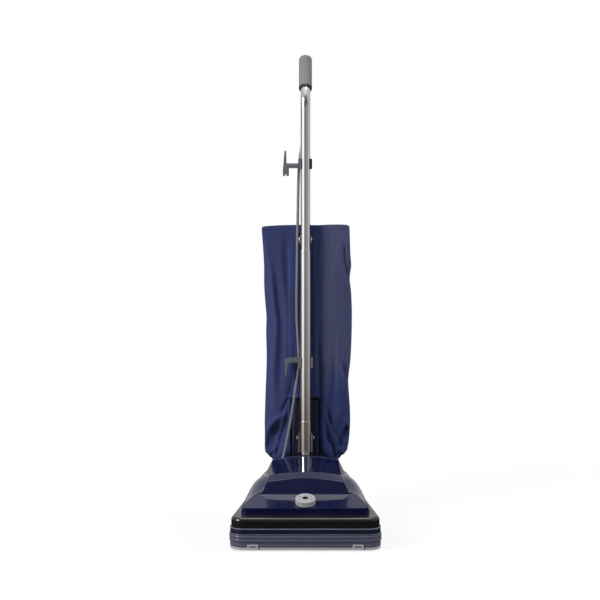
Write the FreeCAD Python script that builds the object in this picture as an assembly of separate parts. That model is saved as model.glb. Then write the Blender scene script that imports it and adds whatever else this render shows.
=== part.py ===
# Upright vacuum cleaner with a chrome handle and a cloth bag, in millimetres.
# +X is the right side seen from the front, -Y is the front, +Z is up, and z = 0 is the floor.
import FreeCAD, Part
import math
import os

from FreeCAD import Vector as V

# Clearances
SEAT_GAP = 0.3
RUNNING_GAP = 0.05
MOVING_GAP = 1.0

# Base housing, in plan and in height
BASE_HALF_WIDTH = 168.0
BASE_FRONT_Y = -168.0
BASE_WAIST_Y = -80.0
BASE_WAIST_HALF = BASE_HALF_WIDTH - 12.5
BASE_SHOULDER_Y = 45.0
BASE_SHOULDER_HALF = BASE_HALF_WIDTH - 31.0
BASE_REAR_Y = 104.0
BASE_REAR_HALF = BASE_HALF_WIDTH - 52.0
BASE_BOTTOM_Z = 11.0
DECK_Z = 75.0
BASE_CORNER_R = 26.0
BASE_EDGE_R = 8.0
BASE_WALL = 4.0
FLOOR_WALL = 3.0

# Brush roll and the chamber round it
ROLL_Y = -134.0
ROLL_Z = 28.0
ROLL_R = 18.0
ROLL_HALF_LENGTH = BASE_HALF_WIDTH - 26.0
ROLL_SHAFT_R = 4.0
BELT_GROOVE_DEPTH = 3.0
TUFT_TIP_R = 24.5
TUFT_R = 2.4
TUFTS_PER_ROW = 14
TUFT_START = 14.0
TUFT_PITCH = (ROLL_HALF_LENGTH - 5.6 - TUFT_START) / (TUFTS_PER_ROW / 2 - 1)
TUFT_TWIST = 100.0
CHAMBER_R = 28.0
CHAMBER_HALF = ROLL_HALF_LENGTH + 10.0
END_CAP_THICK = 6.0

# Bottom plate, latches
PLATE_BOTTOM_Z = 4.0
PLATE_THICK = 1.5
PLATE_RIM_Z = 10.0
PLATE_REAR_Y = -99.0
PLATE_INSET = 0.6
WINDOW_HALF = ROLL_HALF_LENGTH - 2.0
WINDOW_FRONT_Y = -160.0
WINDOW_REAR_Y = -112.0
WINDOW_BARS = 3
BAR_WIDTH = 4.0
TAB_X = BASE_HALF_WIDTH - 52.0
TAB_WIDTH = 24.0
TAB_TOP_Z = 17.0
TAB_RIM = 3.5
TAB_THICK = 1.4
LATCH_X = BASE_HALF_WIDTH - 56.0
LATCH_WIDTH = 14.0
LATCH_THICK = 1.4
LATCH_REACH = 11.0
LATCH_PIN_R = 2.5

# Furniture guard
GUARD_FOOT_THICK = 3.2
GUARD_FOOT_Z = 18.0
GUARD_TOP_Z = 52.0
GUARD_REAR_Y = 30.0
GUARD_BAND_THICK = 2.6
GUARD_RIBS = [(21.4, 29.0, 5.0, 2.3), (29.8, 36.6, 5.0, 2.1), (37.3, 39.7, 4.2, 1.0), (50.2, 52.0, 3.5, 0.8)]

# Hood: a domed shell with a tower in its middle and a sloping shelf in front
HOOD_WALL = 3.0
HOOD_FRONT_Y = -135.0
HOOD_REAR_Y = 71.0
HOOD_CORNER_R = 14.0
HOOD_FOOT_HALF = 142.4
SHELF_FRONT_Z = 90.0
SHELF_REAR_Y = -73.0
SHELF_REAR_Z = 106.0
PANEL_TOP_Y = -58.0
PANEL_TOP_Z = 138.0
TOWER_FOOT_HALF = BASE_REAR_HALF - 12.0
TOWER_TOP_HALF = TOWER_FOOT_HALF - 16.0
TOWER_REAR_HALF = TOWER_FOOT_HALF - 27.0
TOWER_CREASE_Y = -45.0
TOWER_CREASE_Z = 151.5
TOWER_REAR_Z = 164.0
TOWER_CROWN = 8.0
TOWER_DRAFT = 0.48
VENT_PITCH = 4.9
VENT_WIDTH = 2.4
VENT_REACH = 9.0
VENT_DEPTH = 14.0
VENT_HALF_SPAN = TOWER_REAR_HALF - 8.0

# Height knob and its cam
KNOB_Y = -112.0
KNOB_R = 22.5
KNOB_HEIGHT = 13.0
KNOB_RECESS_R = 7.0
KNOB_GRIPS = 36
SPINDLE_R = 5.0
CAM_R = 21.0
CAM_DEPTH = 10.0
CAM_THICK = 3.0
CAM_STEPS = 6
CAM_STEP_ANGLE = 50.0
CAM_GAP = 0.8

# Front wheels on their carriage
CARRIAGE_Y = -40.0
CARRIAGE_Z = 19.0
CARRIAGE_ROD_R = 3.0
CARRIAGE_BAR_R = 5.0
CARRIAGE_ARM_X = 44.0
CARRIAGE_ARM_THICK = 4.0
CARRIAGE_SWING = 6.0
CARRIAGE_RIB_X = 72.0
LEVER_FOOT_Y = -72.0
LEVER_TIP_Y = -91.0
LEVER_BAR_Z = 76.5
LEVER_BAR = 4.5
FOLLOWER_HALF = 3.0
FOLLOWER_TOP_Z = 87.0
FRONT_WHEEL_Y = -84.0
FRONT_WHEEL_R = 13.0
FRONT_WHEEL_WIDTH = 12.0
FRONT_AXLE_R = 2.5

# Rear wheels
REAR_WHEEL_X = BASE_REAR_HALF - 4.0
REAR_WHEEL_Y = 70.0
REAR_WHEEL_R = 22.0
REAR_WHEEL_WIDTH = 18.0
TYRE_THICK = 4.0
REAR_AXLE_R = 4.0

# Motor, fan and air path
SHAFT_Z = 78.0
SHAFT_R = 4.0
SHAFT_FRONT_Y = -68.5
PULLEY_R = 7.0
PULLEY_Y = -62.0
PULLEY_LENGTH = 12.0
FAN_HOUSING_R = 52.0
FAN_HOUSING_FRONT_Y = -54.0
FAN_HOUSING_DEPTH = 28.0
FAN_WALL = 3.0
FAN_R = 45.0
FAN_BLADES = 6
FAN_EYE_R = 24.0
FRONT_BEARING_R = 11.0
BEARING_WIDTH = 6.0
STATOR_FRONT_Y = -16.0
STATOR_LENGTH = 30.0
STATOR_R = 40.0
STATOR_BORE_R = 33.0
POLE_BORE_R = 27.0
ARMATURE_R = 26.4
COMMUTATOR_R = 13.0
COMMUTATOR_LENGTH = 8.0
COMMUTATOR_SPACE = 6.0
BRACKET_THICK = 6.0
MOTOR_FOOT_HALF = 30.0
THROAT_HALF = 26.0
THROAT_WALL = 2.0
BELT_WIDTH = 10.0
BELT_THICK = 2.2
BELT_GAP = 0.5

# Exhaust duct, flexible neck and fill tube
DUCT_R = 14.5
DUCT_WALL = 2.0
DUCT_X = 64.0
DUCT_Z = 54.0
DUCT_CROSS_Y = 53.0
DUCT_EXIT_Y = 87.0
DUCT_TOP_Z = 102.0
NECK_WALL = 1.5
NECK_TOP_Z = 132.0
FILL_HALF = 31.0
FILL_FRONT_Y = 103.0
FILL_DEPTH = 24.0
FILL_WALL = 2.0
FILL_TOP_Z = 290.0
SPIGOT_R = 20.0
SPIGOT_Z = 250.0
SPIGOT_LENGTH = 12.0

# Handle pivot, fork and tubes
PIVOT_Y = 87.0
PIVOT_Z = 88.0
PIVOT_R = 5.0
FORK_EYE_R = 10.0
FORK_HALF = 36.0
FORK_ARM = 5.0
FORK_BAR_Z = 150.0
FORK_BAR_HEIGHT = 10.0
FORK_FRONT_Y = 78.0
FORK_DEPTH = 18.0
EAR_THICK = 8.0
SOCKET_TOP_Z = 214.0
SOCKET_CHEEK = 3.0
TUBE_WALL = 1.2
LOWER_TUBE_R = 13.1
MIDDLE_TUBE_R = 12.5
UPPER_TUBE_R = 11.5
TUBE_FOOT_Z = 152.0
LOWER_JOINT_Z = 245.0
UPPER_JOINT_Z = 647.0
TUBE_LAP = 50.0
LOWER_BOLT_Z = 204.0
UPPER_BOLT_Z = 670.0
BOLT_R = 2.5
BOLT_HEAD_R = 4.5
BOLT_HEAD = 1.6
GRIP_BEND_Z = 994.0
GRIP_BEND_R = 50.0
GRIP_ANGLE = 40.0
GRIP_START = 29.0
GRIP_LENGTH = 95.0
GRIP_R = 15.3
GRIP_WALL = 3.5
GRIP_RING = 4.0

# Cord hooks
UPPER_HOOK_Z = 841.0
UPPER_HOOK_DROP = 4.0
HOOK_STEM_LENGTH = 36.0
HOOK_CLAMP_HALF = 12.0
HOOK_CAP = 4.0
UPPER_FINGER_TIP = 34.0
UPPER_FOOT_TIP = 24.0
LOWER_HOOK_Z = 388.0
LOWER_FINGER_TIP_Z = 350.0
HOOK_DEPTH = 11.0

# Switch
SWITCH_Z = 931.0
SWITCH_HALF_HEIGHT = 31.0
SWITCH_HALF = 11.0
SWITCH_DEPTH = 22.0
SWITCH_WALL = 2.0
ROCKER_HALF_HEIGHT = 10.0
ROCKER_HALF = 6.0
ROCKER_PIN_R = 1.5
INLET_BORE_R = 4.0
INLET_LENGTH = 14.0

# Bag
BAG_TOP_Z = 699.0
BAG_FRONT_Y = 104.8
BAG_REAR_Y = 172.0
BAG_WALL = 1.6
BAG_HALF = 103.0
PAPER_BAG_WALL = 0.8
PAPER_BAG_HALF = 76.0
ZIP_LOW_Z = 230.0
ZIP_HIGH_Z = 470.0
ZIP_HALF = 9.0
ZIP_THICK = 1.4
ZIP_GAP = 0.8
SLIDER_HALF = 5.0
SLIDER_LENGTH = 14.0
SLIDER_THICK = 3.0

# Lead between the base and the switch
LEAD_R = 3.25
GLAND_TOP_Z = 103.4
LEAD_ARC_SHARE = 0.45
BASE_LEAD_ROUTE = [
    V(-64.0, 84.0, 104.0), V(-62.0, 84.6, 124.0), V(-54.4, 86.0, 150.0), V(-45.2, 88.6, 186.0),
    V(-37.8, 90.8, 226.0), V(-30.2, 93.4, 272.0), V(-23.4, 96.4, 318.0), V(-18.6, 99.2, 350.0),
    V(-15.8, 100.4, 371.0),
]
SWITCH_LEAD_ROUTE = [
    V(-15.7, 100.4, 371.4), V(-15.2, 100.8, 391.0), V(-17.0, 100.8, 428.0), V(-20.6, 100.2, 484.0),
    V(-20.4, 100.8, 548.0), V(-19.4, 100.2, 612.0), V(-18.8, 100.6, 672.0), V(-17.6, 100.2, 730.0),
    V(-16.8, 100.8, 785.0), V(-15.4, 100.4, 832.0), V(-12.0, 102.0, 868.0), V(-7.6, 105.6, 888.0),
    V(-5.6, 108.0, 900.0),
]

# Pedal that frees the handle
PEDAL_X = 78.0
PEDAL_HALF = 12.0
PEDAL_Y = 99.0
PEDAL_Z = 60.0
PEDAL_PIN_R = 2.5
PEDAL_REACH = 30.0

nodes = {}


def box(x0, x1, y0, y1, z0, z1):
    """A box between two values on each axis."""
    return Part.makeBox(x1 - x0, y1 - y0, z1 - z0, V(x0, y0, z0))


def rod(start, end, radius):
    """A round bar from start to end."""
    way = end - start
    return Part.makeCylinder(radius, way.Length, start, way)


def pipe(start, end, outer, inner):
    """A round bar with a hole along it."""
    return rod(start, end, outer).cut(rod(start, end, inner))


def across(x0, x1, y, z, radius):
    """A round bar along X."""
    return rod(V(x0, y, z), V(x1, y, z), radius)


def along(y0, y1, x, z, radius):
    """A round bar along Y."""
    return rod(V(x, y0, z), V(x, y1, z), radius)


def upright(z0, z1, x, y, radius):
    """A round bar along Z."""
    return rod(V(x, y, z0), V(x, y, z1), radius)


def fuse(*shapes):
    """One solid of several that touch."""
    whole = shapes[0]
    for shape in shapes[1:]:
        whole = whole.fuse(shape)
    return whole.removeSplitter()


def cut(shape, *tools):
    """A shape less the tools."""
    for tool in tools:
        shape = shape.cut(tool)
    return shape


def group(solids):
    """Separate solids in one node."""
    return Part.makeCompound(solids)


def mirrored(shape):
    """The same shape on the other side of the middle plane."""
    return shape.mirror(V(0, 0, 0), V(1, 0, 0))


def both_sides(shape):
    """A shape and its mirror image, as separate solids."""
    return group([shape, mirrored(shape)])


def rounded_loop(corners, z):
    """A closed wire through corners (x, y, radius), with an arc at each."""
    edges = []
    count = len(corners)
    ends = []
    for i in range(count):
        x, y, radius = corners[i]
        here = V(x, y, z)
        before = V(corners[i - 1][0], corners[i - 1][1], z)
        after = V(corners[(i + 1) % count][0], corners[(i + 1) % count][1], z)
        back = (before - here).normalize()
        ahead = (after - here).normalize()
        half_turn = (math.pi - back.getAngle(ahead)) / 2
        reach = radius * math.tan(half_turn)
        start = here + back * reach
        end = here + ahead * reach
        inward = (back + ahead).normalize()
        middle = here + inward * (radius / math.cos(half_turn) - radius)
        ends.append((start, middle, end))
    for i in range(count):
        start, middle, end = ends[i]
        edges.append(Part.Arc(start, middle, end).toShape())
        edges.append(Part.LineSegment(end, ends[(i + 1) % count][0]).toShape())
    return Part.Wire(edges)


def base_plan(offset, z):
    """The outline of the base in plan, grown by offset."""
    half = BASE_HALF_WIDTH + offset
    waist = BASE_WAIST_HALF + offset
    shoulder = BASE_SHOULDER_HALF + offset
    rear = BASE_REAR_HALF + offset
    right = [
        (half, BASE_FRONT_Y - offset, BASE_CORNER_R + offset),
        (waist, BASE_WAIST_Y, 300),
        (shoulder, BASE_SHOULDER_Y, 60),
        (rear, BASE_REAR_Y + offset, 14 + offset),
    ]
    left = [(-x, y, r) for x, y, r in reversed(right)]
    return rounded_loop(right + left, z)


def slab(wire, height):
    """A solid of the given height on a flat wire."""
    return Part.Face(wire).extrude(V(0, 0, height))


def turned(shape, point, direction, angle):
    """A copy turned about an axis."""
    copy = shape.copy()
    copy.rotate(point, direction, angle)
    return copy


# Knob axis: square to the sloping shelf of the hood
SHELF_SLOPE = math.atan2(SHELF_REAR_Z - SHELF_FRONT_Z, SHELF_REAR_Y - HOOD_FRONT_Y)
SHELF_TILT = math.degrees(SHELF_SLOPE)
KNOB_Z = SHELF_FRONT_Z + (KNOB_Y - HOOD_FRONT_Y) * math.tan(SHELF_SLOPE)
KNOB_POINT = V(0, KNOB_Y, KNOB_Z)
KNOB_AXIS = V(0, -math.sin(SHELF_SLOPE), math.cos(SHELF_SLOPE))


def on_knob_axis(low, high, radius):
    """A round bar on the knob's axis, from low to high above the shelf."""
    return rod(KNOB_POINT + KNOB_AXIS * low, KNOB_POINT + KNOB_AXIS * high, radius)


def tilted_with_shelf(shape):
    """A shape made upright at the origin, stood on the shelf at the knob."""
    copy = shape.copy()
    copy.rotate(V(0, 0, 0), V(1, 0, 0), SHELF_TILT)
    copy.translate(KNOB_POINT)
    return copy


# Handle tube axis and the line of the grip
TUBE_Y = PIVOT_Y
GRIP_LEAN = math.radians(GRIP_ANGLE)
GRIP_AXIS = V(0, math.sin(GRIP_LEAN), math.cos(GRIP_LEAN))
GRIP_CORNER = V(0, TUBE_Y, GRIP_BEND_Z)
TUBE_END = GRIP_CORNER + GRIP_AXIS * (GRIP_START + GRIP_LENGTH - GRIP_WALL - SEAT_GAP)


def base_housing():
    """The black body: brush chamber in front, motor bay behind, rear deck with the pivot ears."""
    body = slab(base_plan(0, BASE_BOTTOM_Z), DECK_Z - BASE_BOTTOM_Z)
    seat_z = PLATE_BOTTOM_Z + PLATE_THICK + 0.1
    seat = slab(base_plan(0, seat_z), BASE_BOTTOM_Z - seat_z + 1)
    body = body.fuse(seat.cut(box(-200, 200, PLATE_REAR_Y, BASE_REAR_Y + 20, 0, DECK_Z)))
    top_edges = [e for e in body.Edges if e.BoundBox.ZMin > DECK_Z - 0.01]
    body = body.makeFillet(BASE_EDGE_R, top_edges)
    chamber = across(-CHAMBER_HALF, CHAMBER_HALF, ROLL_Y, ROLL_Z, CHAMBER_R)
    mouth = box(-CHAMBER_HALF, CHAMBER_HALF, ROLL_Y - CHAMBER_R, ROLL_Y + CHAMBER_R, 0, ROLL_Z)
    bay_front = ROLL_Y + CHAMBER_R + BASE_WALL
    bay_half = REAR_WHEEL_X - REAR_WHEEL_WIDTH / 2 - MOVING_GAP - BASE_WALL - 2
    bay_rear = BASE_REAR_Y - BASE_WALL - 12
    floor_z = BASE_BOTTOM_Z + FLOOR_WALL
    bay = box(-bay_half, bay_half, bay_front, HOOD_REAR_Y - HOOD_WALL - 1, floor_z, DECK_Z + 1)
    under_deck = box(-bay_half, bay_half, DUCT_CROSS_Y, bay_rear, floor_z, DECK_Z - BASE_WALL)
    duct_room = box(-DUCT_R - 2, DUCT_R + 2, DUCT_CROSS_Y, DUCT_EXIT_Y + DUCT_R + SEAT_GAP,
                    floor_z, DECK_Z - BASE_WALL)
    belt_window = box(-THROAT_HALF + THROAT_WALL, THROAT_HALF - THROAT_WALL,
                      ROLL_Y, bay_front + 1, ROLL_Z - 2, ROLL_Z + 34)
    cam_pocket = on_knob_axis(-CAM_DEPTH - CAM_THICK - 8, 0, CAM_R + 2)
    wheel_side = REAR_WHEEL_WIDTH / 2 + MOVING_GAP
    well_r = REAR_WHEEL_R + 3
    well = box(REAR_WHEEL_X - wheel_side, REAR_WHEEL_X + wheel_side,
               REAR_WHEEL_Y - well_r, REAR_WHEEL_Y + well_r, 0, REAR_WHEEL_R)
    well = well.fuse(across(REAR_WHEEL_X - wheel_side, REAR_WHEEL_X + wheel_side,
                            REAR_WHEEL_Y, REAR_WHEEL_R, well_r))
    axle_hole = across(-REAR_WHEEL_X - wheel_side - 6, REAR_WHEEL_X + wheel_side + 6,
                       REAR_WHEEL_Y, REAR_WHEEL_R, REAR_AXLE_R + RUNNING_GAP)
    door_half = CARRIAGE_RIB_X - 2
    front_wheel_door = box(-door_half, door_half, bay_front, CARRIAGE_Y + CARRIAGE_BAR_R + 2, 0, 20)
    body = cut(body, chamber, mouth, bay, under_deck, duct_room, belt_window, cam_pocket)
    body = cut(body, well, mirrored(well), axle_hole, front_wheel_door)
    duct_hole = upright(DUCT_Z, DECK_Z + 20, 0, DUCT_EXIT_Y, DUCT_R + 0.1)
    body = body.cut(duct_hole)
    pedal_slot = box(PEDAL_X - PEDAL_HALF - 3, PEDAL_X + PEDAL_HALF + 3, bay_rear - 1, BASE_REAR_Y + 1,
                     PEDAL_Z - 13, PEDAL_Z + 7)
    body = body.cut(pedal_slot)
    pin_bearing = across(PEDAL_X - PEDAL_HALF - 9, PEDAL_X + PEDAL_HALF + 9, PEDAL_Y, PEDAL_Z,
                         PEDAL_PIN_R + RUNNING_GAP)
    body = body.cut(pin_bearing)
    ear_x = FORK_HALF + FORK_ARM + SEAT_GAP + 0.2
    ear = box(ear_x, ear_x + EAR_THICK, PIVOT_Y - FORK_EYE_R, PIVOT_Y + FORK_EYE_R, DECK_Z - 1, PIVOT_Z)
    ear = ear.fuse(across(ear_x, ear_x + EAR_THICK, PIVOT_Y, PIVOT_Z, FORK_EYE_R))
    ear = ear.cut(across(ear_x - 1, ear_x + EAR_THICK + 1, PIVOT_Y, PIVOT_Z, PIVOT_R + RUNNING_GAP))
    rib_x = CARRIAGE_RIB_X
    rib = box(rib_x, rib_x + 8, CARRIAGE_Y - 7, CARRIAGE_Y + 7, floor_z - 1, CARRIAGE_Z + 7)
    rib = rib.cut(across(rib_x - 1, rib_x + 9, CARRIAGE_Y, CARRIAGE_Z, CARRIAGE_ROD_R + RUNNING_GAP))
    post = box(BASE_REAR_HALF - 22, BASE_REAR_HALF - 12, HOOD_REAR_Y - 14, HOOD_REAR_Y - HOOD_WALL - SEAT_GAP,
               DECK_Z - 1, DECK_Z + 22)
    latch_y = PLATE_REAR_Y + 8
    latch_boss = upright(PLATE_BOTTOM_Z, BASE_BOTTOM_Z + 1, LATCH_X, latch_y, 5)
    gland_seat = upright(DECK_Z - 1, DECK_Z + 3, BASE_LEAD_ROUTE[0].x, BASE_LEAD_ROUTE[0].y, 11)
    for piece in (ear, rib, post, latch_boss):
        body = body.fuse(piece).fuse(mirrored(piece))
    screw_hole = upright(0, BASE_BOTTOM_Z + 2, LATCH_X, latch_y, LATCH_PIN_R + RUNNING_GAP)
    body = body.fuse(gland_seat).removeSplitter()
    return cut(body, screw_hole, mirrored(screw_hole))


def furniture_guard():
    """The vinyl strip round the front and the sides: a flat band with rounded ribs and a lip."""
    inner = slab(base_plan(SEAT_GAP, 0), GUARD_TOP_Z + 10)
    strip = slab(base_plan(GUARD_FOOT_THICK, BASE_BOTTOM_Z), GUARD_FOOT_Z - BASE_BOTTOM_Z)
    strip = strip.fuse(slab(base_plan(GUARD_BAND_THICK, GUARD_FOOT_Z), GUARD_TOP_Z - GUARD_FOOT_Z))
    for low, high, thick, rounding in GUARD_RIBS:
        rib = slab(base_plan(thick, low), high - low)
        rims = [e for e in rib.Edges if e.BoundBox.ZLength < 0.01]
        strip = strip.fuse(rib.makeFillet(rounding, rims))
    behind = box(-200, 200, GUARD_REAR_Y, BASE_REAR_Y + 20, 0, GUARD_TOP_Z + 10)
    return cut(strip, inner, behind)


def window_bars():
    """The places of the bars across the mouth of the bottom plate."""
    pitch = 2 * WINDOW_HALF / (WINDOW_BARS + 1)
    return [-WINDOW_HALF + (i + 1) * pitch for i in range(WINDOW_BARS)]


def bottom_plate():
    """The steel plate under the brush, with its rim and two front tabs."""
    rim_offset = GUARD_FOOT_THICK - PLATE_INSET
    plate = slab(base_plan(rim_offset, PLATE_BOTTOM_Z), PLATE_RIM_Z - PLATE_BOTTOM_Z)
    hollow = slab(base_plan(rim_offset - PLATE_THICK, PLATE_BOTTOM_Z + PLATE_THICK), PLATE_RIM_Z)
    behind = box(-200, 200, PLATE_REAR_Y, BASE_REAR_Y + 20, 0, PLATE_RIM_Z + 1)
    window = box(-WINDOW_HALF, WINDOW_HALF, WINDOW_FRONT_Y, WINDOW_REAR_Y, 0, PLATE_RIM_Z + 1)
    plate = cut(plate, hollow, behind, window)
    for x in window_bars():
        bar = box(x - BAR_WIDTH / 2, x + BAR_WIDTH / 2, WINDOW_FRONT_Y - 2, WINDOW_REAR_Y + 2,
                  PLATE_BOTTOM_Z, PLATE_BOTTOM_Z + PLATE_THICK)
        plate = plate.fuse(bar)
    rim_y = BASE_FRONT_Y - rim_offset
    tab_y = BASE_FRONT_Y - GUARD_FOOT_THICK - SEAT_GAP
    tab_left = TAB_X - TAB_WIDTH / 2
    tab_right = TAB_X + TAB_WIDTH / 2
    tab = box(tab_left, tab_right, tab_y - TAB_THICK, tab_y, PLATE_BOTTOM_Z + 1, TAB_TOP_Z)
    gap = box(tab_left + TAB_RIM, tab_right - TAB_RIM, tab_y - 5, tab_y + 1, PLATE_RIM_Z + 0.5, TAB_TOP_Z - TAB_RIM)
    root = box(tab_left, tab_right, tab_y - 0.5, rim_y + 0.5, PLATE_BOTTOM_Z + 1, PLATE_RIM_Z - 0.5)
    tab = tab.cut(gap).fuse(root)
    return fuse(plate, tab, mirrored(tab))


def plate_latch():
    """A steel latch that turns over the plate's rear edge."""
    top = PLATE_BOTTOM_Z - SEAT_GAP
    pivot_y = PLATE_REAR_Y + 8
    arm = box(LATCH_X - LATCH_WIDTH / 2, LATCH_X + LATCH_WIDTH / 2, pivot_y - 8 - LATCH_REACH, pivot_y,
              top - LATCH_THICK, top)
    arm = arm.fuse(upright(top - LATCH_THICK, top, LATCH_X, pivot_y, LATCH_WIDTH / 2))
    return arm.cut(upright(0, top + 1, LATCH_X, pivot_y, LATCH_PIN_R + RUNNING_GAP))


def latch_screw():
    """The screw that the right latch turns on."""
    low = PLATE_BOTTOM_Z - SEAT_GAP - LATCH_THICK - SEAT_GAP
    pivot_y = PLATE_REAR_Y + 8
    head = upright(low - 1.2, low, LATCH_X, pivot_y, 5)
    shank = upright(low, BASE_BOTTOM_Z + 1, LATCH_X, pivot_y, LATCH_PIN_R)
    return head.fuse(shank)


def dome_section(y, points, inset):
    """One cross-section of the dome: a spline over the top and a line along the bottom."""
    side = [V(x - inset, y, z - inset * share) for x, z, share in points]
    spline = Part.BSplineCurve()
    spline.interpolate(side + [V(-p.x, p.y, p.z) for p in reversed(side[:-1])])
    return Part.Wire([spline.toShape(), Part.LineSegment(V(-side[0].x, y, side[0].z), side[0]).toShape()])


def dome(inset):
    """The wide domed shell, with its wall set in by inset."""
    floor = DECK_Z + SEAT_GAP
    front = HOOD_FRONT_Y + inset
    rear = HOOD_REAR_Y - inset
    sections = [
        (front, [(142, floor, 0), (141.4, 83, 0), (138, 91, 0.4), (118, 101, 1), (0, 108, 1)]),
        (-100, [(143, floor, 0), (141, 85, 0), (133, 96, 0.6), (112, 106, 1), (0, 118, 1)]),
        (-73, [(142, floor, 0), (138.6, 88, 0.2), (127, 100, 0.7), (103.5, 109, 1), (0, 124, 1)]),
        (-30, [(139.5, floor, 0), (134.5, 90, 0.3), (124.5, 104, 0.7), (98.5, 120, 1), (0, 132, 1)]),
        (30, [(132.5, floor, 0), (126.5, 95, 0.4), (110, 118, 0.8), (87, 131, 1), (0, 139, 1)]),
        (rear, [(122, floor, 0), (115, 96, 0.4), (95, 125, 0.8), (74, 138, 1), (0, 146, 1)]),
    ]
    loops = [dome_section(y, points, inset) for y, points in sections]
    return Part.makeLoft(loops, True, False)


def tower_section(y, half, crown_z, inset):
    """One cross-section of the tower: sloping sides and a crowned top."""
    corner_z = crown_z - TOWER_CROWN - inset
    foot_z = DECK_Z + SEAT_GAP
    top = half - inset
    foot = top + (corner_z - foot_z) * TOWER_DRAFT
    arc = Part.Arc(V(top, y, corner_z), V(0, y, crown_z - inset), V(-top, y, corner_z)).toShape()
    return Part.Wire([
        Part.LineSegment(V(foot, y, foot_z), V(top, y, corner_z)).toShape(),
        arc,
        Part.LineSegment(V(-top, y, corner_z), V(-foot, y, foot_z)).toShape(),
        Part.LineSegment(V(-foot, y, foot_z), V(foot, y, foot_z)).toShape(),
    ])


def tower(inset):
    """The raised middle of the hood over the motor."""
    loops = [
        tower_section(PANEL_TOP_Y - 30, TOWER_TOP_HALF, PANEL_TOP_Z, inset),
        tower_section(PANEL_TOP_Y, TOWER_TOP_HALF, PANEL_TOP_Z + 1, inset),
        tower_section(TOWER_CREASE_Y, TOWER_TOP_HALF - 6, TOWER_CREASE_Z, inset),
        tower_section(HOOD_REAR_Y - inset, TOWER_REAR_HALF, TOWER_REAR_Z, inset),
    ]
    solid = Part.makeLoft(loops, True, True)
    steep = math.atan2(PANEL_TOP_Z - SHELF_REAR_Z, PANEL_TOP_Y - SHELF_REAR_Y)
    shift = inset / math.sin(steep)
    front = box(-200, 200, -200, 0, -100, 200)
    front.rotate(V(0, 0, 0), V(1, 0, 0), -(90 - math.degrees(steep)))
    front.translate(V(0, SHELF_REAR_Y + shift, SHELF_REAR_Z))
    return solid.cut(front)


def above_shelf(inset):
    """Everything above the sloping shelf and in front of the steep panel, which meet in a straight crease."""
    shelf_rise = (SHELF_REAR_Z - SHELF_FRONT_Z) / (SHELF_REAR_Y - HOOD_FRONT_Y)
    panel_rise = (PANEL_TOP_Z - SHELF_REAR_Z) / (PANEL_TOP_Y - SHELF_REAR_Y)
    panel_foot_y = SHELF_REAR_Y + inset / math.sin(math.atan(panel_rise))
    shelf_at_foot = SHELF_FRONT_Z - inset + shelf_rise * (panel_foot_y - HOOD_FRONT_Y)
    crease_y = panel_foot_y + (shelf_at_foot - SHELF_REAR_Z) / (panel_rise - shelf_rise)
    crease_z = SHELF_REAR_Z + panel_rise * (crease_y - panel_foot_y)
    front_y = HOOD_FRONT_Y - 60
    front_z = SHELF_FRONT_Z - inset + shelf_rise * (front_y - HOOD_FRONT_Y)
    top_z = TOWER_REAR_Z + 80
    top_y = panel_foot_y + (top_z - SHELF_REAR_Z) / panel_rise
    corners = [V(-200, front_y, front_z), V(-200, crease_y, crease_z), V(-200, top_y, top_z), V(-200, front_y, top_z)]
    return Part.Face(Part.makePolygon(corners + corners[:1])).extrude(V(400, 0, 0))


def front_corner(inset):
    """What the rounding of the right front corner takes off, from top to bottom."""
    x = HOOD_FOOT_HALF - inset
    y = HOOD_FRONT_Y + inset
    radius = HOOD_CORNER_R - inset
    block = box(x - radius, x + 20, y - 20, y + radius, 0, 200)
    return block.cut(upright(-1, 201, x - radius, y + radius, radius))


def hood_form(inset):
    """The outer form of the hood, or its hollow when inset is the wall."""
    shelf_dome = dome(inset).cut(above_shelf(inset))
    corner = front_corner(inset)
    return cut(shelf_dome.fuse(tower(inset)), corner, mirrored(corner))


def hood():
    """The navy cover: form less hollow, with vents at the rear edge."""
    shell = hood_form(0).cut(hood_form(HOOD_WALL))
    shell = shell.cut(on_knob_axis(-20, 10, SPINDLE_R + SEAT_GAP))
    count = int(2 * VENT_HALF_SPAN / VENT_PITCH) + 1
    slots = []
    for i in range(count):
        x = -VENT_HALF_SPAN + i * VENT_PITCH
        sag = TOWER_CROWN * (x / TOWER_REAR_HALF) ** 2
        top = TOWER_REAR_Z - sag + 3
        slots.append(box(x - VENT_WIDTH / 2, x + VENT_WIDTH / 2, HOOD_REAR_Y - VENT_REACH, HOOD_REAR_Y + 1,
                         top - VENT_DEPTH, top))
    shell = shell.cut(group(slots))
    screw_hole = along(HOOD_REAR_Y - 10, HOOD_REAR_Y + 1, BASE_REAR_HALF - 17, DECK_Z + 14, 2.2)
    return cut(shell, screw_hole, mirrored(screw_hole))


def hood_screw():
    """The right screw through the hood's rear wall into its post on the base."""
    x = BASE_REAR_HALF - 17
    z = DECK_Z + 14
    head = along(HOOD_REAR_Y + SEAT_GAP, HOOD_REAR_Y + 2.5, x, z, 4)
    shank = along(HOOD_REAR_Y - HOOD_WALL - 0.1, HOOD_REAR_Y + SEAT_GAP, x, z, 2)
    return head.fuse(shank)


def base_screws():
    """The screws of the hood and of the latches."""
    screws = [latch_screw(), hood_screw()]
    return group(screws + [mirrored(screw) for screw in screws])


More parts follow.
